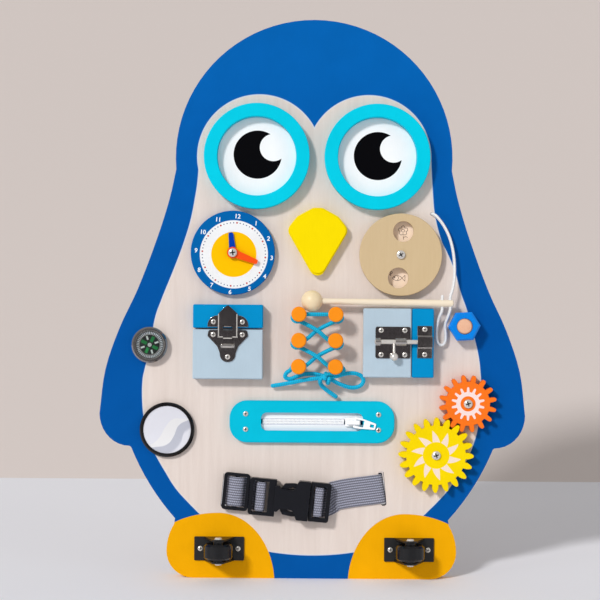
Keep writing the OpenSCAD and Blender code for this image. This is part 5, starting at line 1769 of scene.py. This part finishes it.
# -------------------------------------------------------------------- details
@dataclass
class ClockPrint:
    """Figures and minute dots on the dial."""

    at: Point
    face: float
    figure_r: float = 32.6
    figure_size: float = 5.2
    figure_thick: float = 0.04
    figure_bold: float = 0.022
    dot_r: float = 27.1
    dot_depth: Point = (-0.03, 0.05)
    dot_sides: int = 10
    minute_size: float = 0.5
    hour_size: float = 0.8
    turn: float = 5.3

    def _around(self, r: float, hours: float) -> Point:
        """The place at a number of hours on a ring of the dial."""
        a = math.radians(90 - self.turn - hours * 30)
        return (self.at[0] + r * math.cos(a), self.at[1] + r * math.sin(a))

    def build(self, white: bpy.types.Material, grey: bpy.types.Material,
              red: bpy.types.Material) -> None:
        """Make the figures and the dots.

        Args:
            white: for the figures.
            grey: for the minutes.
            red: for the hours.
        """
        for name, size, material, hours in (
                ("minute_dots", self.minute_size, grey,
                 [m / 5 for m in range(60) if m % 5]),
                ("hour_dots", self.hour_size, red, [float(h) for h in range(12)])):
            spots = [((*self._around(self.dot_r, h), self.face), 0.0, 1.0) for h in hours]
            unit = drum("dot", size, *self.dot_depth, self.dot_sides)
            dress(repeated(name, unit, spots, material), "board", material)
        points, faces = [], []
        for hour in range(1, 13):
            text = bpy.data.curves.new("figure", "FONT")
            text.body = str(hour)
            text.size = self.figure_size * MM
            text.align_x, text.align_y = "CENTER", "CENTER"
            text.extrude = self.figure_thick * MM
            text.offset = self.figure_bold * self.figure_size * MM
            text.resolution_u = 3
            obj = bpy.data.objects.new("figure", text)
            bpy.context.scene.collection.objects.link(obj)
            bpy.context.view_layer.update()
            graph = bpy.context.evaluated_depsgraph_get()
            mesh = bpy.data.meshes.new_from_object(obj.evaluated_get(graph))
            x, z = self._around(self.figure_r, hour)
            n = len(points)
            for vertex in mesh.vertices:
                u, v = turned((vertex.co.x / MM, vertex.co.y / MM), -self.turn)
                points.append(on_board(x + u, z + v, self.face + 0.02 + vertex.co.z / MM))
            faces += [tuple(n + i for i in face.vertices) for face in mesh.polygons]
            bpy.data.objects.remove(obj, do_unlink=True)
        dress(mesh_object("clock_figures", points, faces), "board", white)


@dataclass
class ScrewCrosses:
    """The floor of the cross recess in each screw, painted near-black as painted shade."""

    long: float = 0.62
    half: float = 0.19
    low: float = 0.06
    top: float = 0.53
    apart: float = 0.02

    def build(self, frame: Frame, nodes: Sequence[str], material: bpy.types.Material) -> None:
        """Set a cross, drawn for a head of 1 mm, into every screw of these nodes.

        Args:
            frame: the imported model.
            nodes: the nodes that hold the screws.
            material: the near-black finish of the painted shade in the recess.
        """
        for node in nodes:
            points, faces = [], []
            for flip in (False, True):
                a, b = (self.half, self.long) if flip else (self.long, self.half)
                lift = self.apart if flip else 0.0
                faces += brick(len(points))
                points += [(u * a * MM, -(d + lift) * MM, v * b * MM)
                           for d in (self.low, self.top)
                           for u, v in ((-1, -1), (1, -1), (1, 1), (-1, 1))]
            unit = outward(mesh_object("cross", points, faces))
            spots = [(place, 0.0, size) for place, size in frame.heads(node)]
            obj = repeated(node + "_crosses", unit, spots, material)
            dress(obj, frame.body_of[node], material)


@dataclass
class HaspShine:
    """Bright lines on the hasp, painted highlights: along its folded rims, at their feet and on
    its barrel.
    """

    pin: Point
    top: float
    lines: tuple[tuple[Point, Point], ...] = (
        ((-7.8, 7.8), (-7.8, 26.8)), ((7.8, 7.8), (7.8, 26.8)), ((-8.2, 7.5), (-4.4, 7.5)),
        ((4.4, 7.5), (8.2, 7.5)), ((-3.6, -1.0), (3.6, -1.0)), ((-3.4, 6.4), (3.4, 6.4)))
    width: float = 0.9
    depth: Point = (1.4, 0.15)

    def build(self, material: bpy.types.Material) -> None:
        """Make the lines, which swing with the hasp.

        Args:
            material: the finish.
        """
        x, z = self.pin
        runs = [[(x + u, z + v) for u, v in line] for line in self.lines]
        obj = strokes("hasp_shine", runs, self.width, self.top - self.depth[0],
                      self.top - self.depth[1])
        dress(obj, "latch_hasp", material)


@dataclass
class WheelPictures:
    """Small plain pictures burnt into the panel below the wheel's two windows."""

    at: Point
    r: float = 20.0
    first: float = 84.0
    line: float = 0.38
    depth: Point = (-0.05, 0.04)

    @staticmethod
    def motifs() -> list[list[list[Point]]]:
        """Six pictures around their own middle, in millimetres.

        Returns:
            For each picture its lines.
        """
        flower = [bow(0, 1, 1.3)] + [
            bow(2.7 * math.cos(math.radians(a)), 1 + 2.7 * math.sin(math.radians(a)), 1.5,
                a - 110, a + 110) for a in range(18, 378, 72)]
        flower += [[(0, -3.2), (0.6, -6.6)], bow(2.2, -5.2, 1.7, 190, 20, 0.6)]
        leaf = [bow(-2.6, 0, 5.6, -52, 52), bow(4.3, 0, 5.6, 128, 232), [(0.9, -6.6), (0.9, 3)],
                [(0.9, -2), (2.6, -0.4)], [(0.9, 0.2), (-0.8, 1.8)]]
        fish = [bow(-0.6, -3, 5.2, 35, 145), bow(-0.6, 3, 5.2, 215, 325),
                [(3.6, 0), (6.2, 2.4), (6.0, -2.6), (3.6, 0)], bow(-3, 0.6, 0.5),
                bow(-1.2, 0, 1.8, -60, 60), bow(-6.4, 2.9, 0.6), bow(-5.6, 4.7, 0.8)]
        boat = [[(-5, -2), (5, -2), (3, -5), (-3.2, -5), (-5, -2)], [(0, -2), (0, 5.4)],
                [(0.6, 5), (4, -0.6), (0.6, -0.6)], [(-0.6, 3.6), (-3.4, -0.6), (-0.6, -0.6)]]
        star = [[(r * math.sin(math.radians(36 * k)), r * math.cos(math.radians(36 * k)))
                 for k, r in enumerate([2.43, 5.4] * 5 + [2.43])]]
        pear = [bow(0, -2, 3.4, 140, 400), bow(0, 2.4, 1.9, 10, 170),
                [(-2.6, 0.2), (-1.9, 2.7)], [(2.6, 0.2), (1.9, 2.7)], [(0, 4.2), (0.8, 6.2)],
                bow(2.2, 5.6, 1.4, 160, -20, 0.5)]
        return [flower, leaf, boat, fish, star, pear]

    def build(self, burnt: bpy.types.Material) -> None:
        """Draw the pictures around the wheel's middle.

        Args:
            burnt: the finish of the lines.
        """
        lines = []
        for k, motif in enumerate(self.motifs()):
            a = math.radians(self.first - 60 * k)
            x, z = self.at[0] + self.r * math.cos(a), self.at[1] + self.r * math.sin(a)
            lines += [[(x + u, z + v) for u, v in line] for line in motif]
        dress(strokes("wheel_pictures", lines, self.line, *self.depth), "board",
              burnt)


@dataclass
class ZipCoil:
    """The closed coil in the middle of the zip, in place of plain teeth."""

    at: Point
    low_x: float
    high_x: float
    face: float
    pitch: float = 1.1
    half: float = 2.2
    height: float = 0.6
    start: float = 4.0
    lean: float = 6.0

    def build(self, material: bpy.types.Material, seam: bpy.types.Material) -> None:
        """Set small rounded bars side by side along the slot, between two low lips.

        Args:
            material: for the coil and the lips.
            seam: for the two grey lines of painted shade beside the coil.
        """
        for side in (-1, 1):
            # Low white lips beside the coil, and two grey lines of painted shade where the coil
            # meets the tape.
            for name, off, width, low, high, finish in (
                    ("zip_lip", 2.9, 1.5, -0.5, 0.2, material),
                    ("zip_seam", 2.6, 0.5, 0.0, 0.26, seam)):
                z = self.at[1] + side * off
                line = [(self.low_x - self.start, z), (self.high_x, z)]
                dress(strokes(name, [line], width, self.face + low, self.face + high),
                      "board", finish)
        wide = self.pitch * 0.49
        section = [(wide * math.cos(a), self.height * max(0.0, math.sin(a)) + (
            0.0 if 0 <= a <= math.pi else -0.2)) for a in
            [math.radians(t) for t in (0, 36, 72, 108, 144, 180, 225, 315)]]
        ends = [(-self.half, 0.55), (-self.half + 0.5, 1.0), (-0.35, 1.0), (0.0, 0.62),
                (0.35, 1.0), (self.half - 0.5, 1.0), (self.half, 0.55)]
        points = [(u * s * MM, -d * s * MM, v * MM) for v, s in ends for u, d in section]
        unit = outward(mesh_object("coil_turn", points, shell(len(section), len(points))))
        number = int((self.high_x - self.low_x) / self.pitch)
        spots = [((self.low_x + (k + 0.5) * self.pitch, self.at[1], self.face), self.lean, 1.0)
                 for k in range(number)]
        obj = smooth(repeated("zip_coil", unit, spots, material), 40)
        dress(obj, "board", material, ("zip_teeth",))


@dataclass
class CompassRings:
    """Two bright rings around the card as painted highlights, and the printed ring of degrees
    on the case.
    """

    at: Point
    card_d: float
    radii: tuple[Point, ...] = ((8.9, 0.25), (12.3, 0.4))
    lift: float = 0.5
    print_r: Point = (9.3, 11.7)
    print_d: Point = (4.38, 4.5)
    print_steps: int = 96
    steps: int = 64
    sides: int = 8

    def _spot(self, r: float, step: int, steps: int, d: float) -> Vector:
        """A point at a radius around the card, a number of steps round."""
        a = 2 * math.pi * step / steps
        return on_board(self.at[0] + r * math.cos(a), self.at[1] + r * math.sin(a), d)

    def _torus(self, section: Sequence[Point], steps: int, start: int
               ) -> tuple[list[Vector], list[tuple[int, ...]]]:
        """Turn a closed section of radius and depth once around the card.

        Args:
            section: the corners, once around.
            steps: steps around the card.
            start: the number of its first corner.

        Returns:
            The points and the faces.
        """
        sides = len(section)
        points = [self._spot(r, k, steps, d) for k in range(steps) for r, d in section]
        faces = [(start + k * sides + m, start + (k + 1) % steps * sides + m,
                  start + (k + 1) % steps * sides + (m + 1) % sides,
                  start + k * sides + (m + 1) % sides)
                 for k in range(steps) for m in range(sides)]
        return points, faces

    def degrees(self, material: bpy.types.Material, slot: str) -> None:
        """Make the flat ring of degrees around the card.

        Args:
            material: the finish.
            slot: the material slot; not used.
        """
        (near, far), (low, high) = self.print_r, self.print_d
        points, faces = self._torus(((near, low), (near, high), (far, high), (far, low)),
                                    self.print_steps, 0)
        obj = outward(mesh_object("compass_degrees", points, faces))
        dress(obj, "board", material)

    def build(self, material: bpy.types.Material, slot: str) -> None:
        """Make the bright rings of painted highlight as one piece.

        Args:
            material: the finish.
            slot: the material slot; not used.
        """
        points, faces = [], []
        angles = [2 * math.pi * m / self.sides for m in range(self.sides)]
        for index, (r, thin) in enumerate(self.radii):
            d = self.card_d + index * self.lift
            spots, sheets = self._torus(
                [(r + thin * math.cos(b), d + thin * math.sin(b)) for b in angles],
                self.steps, len(points))
            points += spots
            faces += sheets
        obj = smooth(outward(mesh_object("compass_rings", points, faces)), 60)
        dress(obj, "board", material)


# -------------------------------------------------------------------- camera
@dataclass
class Studio:
    """Camera, lamps, table and a backdrop that leans away, so that the back shows too."""

    look_at: Point = (-11.3, 239.5)
    distance: float = 1650.0
    lens: float = 115.1
    roll: float = 0.43
    table: float = 3.0
    wall_y: float = 0.469
    wall: Point = (2.0, 2.2)
    rise: float = 18.0
    box_at: tuple[Point, Point] = ((2185, 1178), (2850, 2185))
    box_z: Point = (-140, 1494)
    card: tuple[Point, Point] = ((-380, -65), (435, 570))
    card_d: float = 2600.0
    sun: float = 2.0
    sun_width: float = 9.0
    sun_aim: Place = (0.62, -0.62, -1.0)
    world: tuple[float, ...] = (1.0, 0.985, 0.97, 1.0)
    lamp: tuple[float, ...] = (1.0, 0.99, 0.98, 1.0)
    fill: float = 0.44
    panel: float = 2.6

    def build(self) -> None:
        """Set up everything that isn't part of the object."""
        self.camera()
        self.lamps()
        self.stage()
        scene = bpy.context.scene
        scene.view_settings.view_transform = "Standard"

    def camera(self) -> None:
        """Place the camera square to the board."""
        data = bpy.data.cameras.new("camera")
        data.lens = self.lens
        data.sensor_width = 36.0
        obj = bpy.data.objects.new("camera", data)
        bpy.context.scene.collection.objects.link(obj)
        turn = Matrix.Rotation(math.radians(90) - LEAN, 4, "X")
        roll = Matrix.Rotation(math.radians(self.roll), 4, "Z")
        obj.matrix_world = Matrix.Translation(
            on_board(*self.look_at, self.distance)) @ turn @ roll
        bpy.context.scene.camera = obj

    def lamps(self) -> None:
        """One broad lamp at the upper left, and an even world."""
        world = bpy.data.worlds.new("studio")
        bpy.context.scene.world = world
        world.use_nodes = True
        back = world.node_tree.nodes["Background"]
        back.inputs["Color"].default_value = self.world
        back.inputs["Strength"].default_value = self.fill
        data = bpy.data.lights.new("key", "SUN")
        data.energy = self.sun
        data.angle = math.radians(self.sun_width)
        data.color = self.lamp[:3]
        obj = bpy.data.objects.new("key", data)
        bpy.context.scene.collection.objects.link(obj)
        aim = on_board(*self.sun_aim) - on_board(0, 0, 0)
        obj.rotation_euler = aim.to_track_quat("-Z", "Y").to_euler()

    def sheet(self, name: str, corners: Sequence[Sequence[float]], **sockets: object
              ) -> None:
        """Set up one flat sheet that isn't part of the object.

        Args:
            name: its name.
            corners: four corners in metres.
            sockets: the shader's values.
        """
        obj = mesh_object(name, corners, [(0, 1, 2, 3)])
        obj.data.materials.append(Mixer(name).set(**sockets).material)
        obj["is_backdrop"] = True

    def softboxes(self) -> None:
        """Two upright bright panels beside the camera, for the rims to show."""
        low, high = self.box_z
        for name, side in (("softbox_left", -1), ("softbox_right", 1)):
            (near, near_d), (far, far_d) = self.box_at
            corners = [on_board(side * x, z, d) for x, z, d in (
                (near, low, near_d), (far, low, far_d), (far, high, far_d),
                (near, high, near_d))]
            self.sheet(name, corners, Base_Color=(0.0, 0.0, 0.0, 1.0),
                       Emission_Color=self.lamp, Emission_Strength=self.panel)

    def stage(self) -> None:
        """Table, backdrop, and a dark card behind the camera for the metals to show."""
        self.softboxes()
        (left, low), (right, high) = self.card
        card = [on_board(x, z, self.card_d) for x, z in (
            (left, low), (right, low), (right, high), (left, high))]
        slope, wide, wall = math.radians(self.rise), self.table, self.wall_y
        far = (wall + self.wall[1] * math.cos(slope), self.wall[1] * math.sin(slope))
        half = self.wall[0]
        for name, colour, corners in (
                ("table", (240, 240, 246), [(-wide, -wide, 0), (wide, -wide, 0),
                                            (wide, wall, 0), (-wide, wall, 0)]),
                ("backdrop", (218, 208, 204), [(-half, wall, 0), (half, wall, 0),
                                               (half, *far), (-half, *far)]),
                ("card", (84, 80, 84), card)):
            self.sheet(name, corners, Base_Color=linear(colour), Roughness=0.7,
                       Specular_IOR_Level=0.1)


# -------------------------------------------------------------------- palette
class Palette:
    """Every finish used on the board, made once."""

    def __init__(self, frame: Frame) -> None:
        """Build the materials.

        Args:
            frame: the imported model.
        """
        large, small = frame.pin("large_gear_turn"), frame.pin("small_gear_turn")
        gear_face = frame.face("gear_large")
        self.board = BoardFace().build()
        self.eye = EyeFace().build()
        self.turquoise = PaintedWood("turquoise_paint", (2, 204, 230)).build()
        self.zip_blue = PaintedWood("lake_paint", (4, 190, 219), grain=Grain.ACROSS).build()
        self.yellow = PaintedWood("beak_paint", (252, 222, 0)).build()
        self.orange = PaintedWood("peg_paint", (252, 146, 29), grain=Grain.OUTWARD).build()
        self.block_blue = PaintedWood("block_paint", (2, 142, 202)).build()
        self.door_blue = PaintedWood("door_paint", (181, 201, 215)).build()
        self.nut_blue = PaintedWood("nut_paint", (0, 132, 232), 0.2, Grain.OUTWARD,
                                    0.25).build()
        self.clock = ClockFace(frame.print_at()).build()
        self.tan = BareWood("fibreboard", (210, 187, 149), (201, 176, 137),
                            fineness=2.5).build()
        self.gear_large = GearFace("gear_yellow", (248, 216, 4), large, 10, 11.4, 11.4, 21.5,
                                   gear_face, True, phase=0.7).build()
        self.gear_small = GearFace("gear_orange", (250, 118, 32), small, 14, 6.5, 10.1, 14.3,
                                   gear_face, False, (250, 226, 222), 0.85).build()
        self.mallet = BareWood("mallet_wood", (244, 232, 212), (233, 216, 188),
                               Grain.ACROSS, lacquer=0.6).build()
        self.ball = BareWood("ball_wood", (242, 225, 192), (230, 206, 164), Grain.ACROSS,
                             lacquer=0.6).build()
        self.bolt_wood = BareWood("bolt_wood", (236, 192, 162), (222, 166, 134),
                                  Grain.OUTWARD).build()
        self.leg = BareWood("leg_wood", (233, 214, 182), (216, 190, 152)).build()
        self.nickel = Metal("nickel", (205, 200, 197), 0.12, marks=0.05,
                            waves_mm=0.006).build()
        self.steel = Metal("zinc_steel", (238, 234, 228), 0.24, 0.4).build()
        # Near-black metal: painted shade in the screws' cross recesses.
        self.recess = Metal("recess_painted_shade", (16, 14, 14), 0.5, 0.3).build()
        self.gunmetal = Metal("gunmetal", (176, 172, 172), 0.11, 0.97, 0.04).build()
        self.black_steel = Metal("black_coat", (12, 12, 13), 0.42, 0.0).build()
        self.hand_blue = PaintedWood("hand_blue", (0, 62, 176)).build()
        self.hand_red = PaintedWood("hand_red", (250, 84, 24)).build()
        self.white_plastic = Moulding("white_plastic", (250, 251, 254), 0.4).build()
        self.black_plastic = Moulding("black_plastic", (16, 17, 23), 0.33, 0.008, 0.22).build()
        self.rim_plastic = Moulding("rim_plastic", (12, 10, 12), 0.12, 0.004, 0.5).build()
        self.rubber = Moulding("rubber", (12, 12, 15), 0.2, 0.004, 0.35).build()
        self.print_white = Moulding("print_white", (236, 242, 248), 0.5).build()
        self.print_grey = Moulding("print_grey", (50, 72, 112), 0.5).build()
        self.print_red = Moulding("print_red", (186, 56, 48), 0.5).build()
        self.burnt = Moulding("burnt_line", (96, 66, 50), 0.7).build()
        # Grey for the lines of painted shade beside the zip's coil.
        self.seam = Moulding("zip_seam", (190, 192, 208), 0.7).build()
        self.clear = Lens("clear_acrylic").build()
        self.mirror = SafetyMirror("mirror_acrylic", frame.middle("mirror_glass")).build()
        self.card = CompassFace(frame.pin("compass_turn")).build()
        self.lace = Braid("lace_braid", (14, 178, 220)).build()
        self.cord = Braid("cord_braid", (240, 240, 240), 1.2, 0.1).build()
        self.tape = Tape("zip_tape_weave", (252, 253, 255),
                         frame.middle("zip_plate_piece")).build()
        self.strap = Webbing("strap_weave", (152, 154, 170)).build()

    def nodes(self) -> dict[bpy.types.Material, list[str]]:
        """The finish of each CAD node.

        Returns:
            The nodes of each material.
        """
        return {
            self.board: ["board_panel"], self.eye: ["eye_discs"],
            self.turquoise: ["eye_rings"], self.yellow: ["beak"],
            self.clock: ["clock_dial"], self.hand_blue: ["hour_hand"],
            self.hand_red: ["minute_hand"], self.tan: ["picture_wheel"],
            self.steel: ["pivot_screws", "latch_pin", "latch_door_screws",
                         "latch_hinge_fixed", "latch_hinge_leaf", "latch_hinge_pin",
                         "bolt_rod", "bolt_hinge", "front_screws", "back_screws",
                         "strap_clamps", "caster_axles"],
            self.white_plastic: ["pivot_sleeves", "zip_teeth", "zip_slider", "zip_pull"],
            self.block_blue: ["latch_block", "bolt_block"],
            self.door_blue: ["latch_door", "bolt_door"],
            self.nickel: ["latch_catch", "latch_base", "latch_hasp", "bolt_back_plate",
                          "bolt_keeper"],
            self.orange: ["lacing_pegs"], self.mallet: ["mallet_stick"],
            self.ball: ["mallet_ball"],
            self.bolt_wood: ["wooden_bolt"], self.nut_blue: ["hex_nut"],
            self.zip_blue: ["zip_plate_piece"], self.tape: ["zip_tape"],
            self.gunmetal: ["compass_case"], self.card: ["compass_card"],
            self.clear: ["compass_lens"], self.rim_plastic: ["mirror_rim_piece"],
            self.black_plastic: ["tri_glide", "buckle_female", "buckle_male"],
            self.mirror: ["mirror_glass"], self.gear_large: ["gear_large"],
            self.gear_small: ["gear_small"], self.strap: ["webbing_left", "webbing_right"],
            self.black_steel: ["caster_brackets"],
            self.rubber: ["caster_wheel_left", "caster_wheel_right"],
            self.leg: ["leg_cheeks", "leg_dowel", "stand_leg"], self.lace: ["lace"],
            self.cord: ["mallet_cord"],
        }


@dataclass
class Edges:
    """How far the edges of each piece are eased, in millimetres."""

    widths: dict[str, float] = field(default_factory=lambda: {
        "latch_block": 0.9, "latch_door": 0.9, "bolt_door": 0.9, "bolt_block": 0.9,
        "clock_dial": 0.5, "picture_wheel": 0.5, "beak": 0.8, "zip_plate_piece": 0.5,
        "hex_nut": 0.7, "gear_large": 0.4, "gear_small": 0.4, "latch_base": 0.45,
        "latch_catch": 0.45, "latch_hasp": 0.3, "bolt_back_plate": 0.45,
        "bolt_keeper": 0.4, "buckle_female": 0.5, "buckle_male": 0.5, "tri_glide": 0.5,
        "caster_brackets": 0.3, "wooden_bolt": 0.6, "mallet_stick": 0.6,
        "leg_cheeks": 0.8, "stand_leg": 0.8, "zip_slider": 0.3, "zip_pull": 0.3})

    def build(self, frame: Frame, finish: dict[str, bpy.types.Material]) -> None:
        """Ease every piece of the table."""
        for node, width in self.widths.items():
            frame.eased(node, width, finish[node])


def finish_nodes(frame: Frame, palette: Palette) -> dict[str, bpy.types.Material]:
    """Give every CAD node its finish, and return the finish of each.

    Args:
        frame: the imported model.
        palette: the finishes.

    Returns:
        The material of each node.
    """
    finish = {}
    for material, names in palette.nodes().items():
        for name in names:
            frame.paint(name, material)
            finish[name] = material
    return finish


def main() -> None:
    """Load the frame and dress it."""
    logging.basicConfig(level=logging.INFO, format="%(name)s: %(message)s")
    frame = Frame()
    Studio().build()
    palette = Palette(frame)
    Lace().build(palette.lace)
    MalletCord().build(palette.cord)
    finish = finish_nodes(frame, palette)
    Strap().build(palette.strap)
    ClockPrint(frame.print_at(), frame.face("clock_dial")).build(
        palette.print_white, palette.print_grey, palette.print_red)
    WheelPictures(frame.pin("picture_wheel_turn")).build(palette.burnt)
    low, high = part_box("zip_teeth")
    ZipCoil(frame.middle("zip_plate_piece"), low.x / MM, high.x / MM + 1.0,
            frame.face("zip_tape") + 0.1).build(palette.white_plastic, palette.seam)
    rings = CompassRings(frame.pin("compass_turn"), frame.face("compass_card") + 0.25)
    rings.build(palette.steel, "bright_steel")
    rings.degrees(palette.card, "gunmetal")
    ScrewCrosses().build(frame, ("pivot_screws", "front_screws", "latch_door_screws"),
                         palette.recess)
    HaspShine(frame.pin("hasp_hinge"), frame.face("latch_hasp")).build(palette.steel)
    Edges().build(frame, finish)


if __name__ == "__main__":
    main()
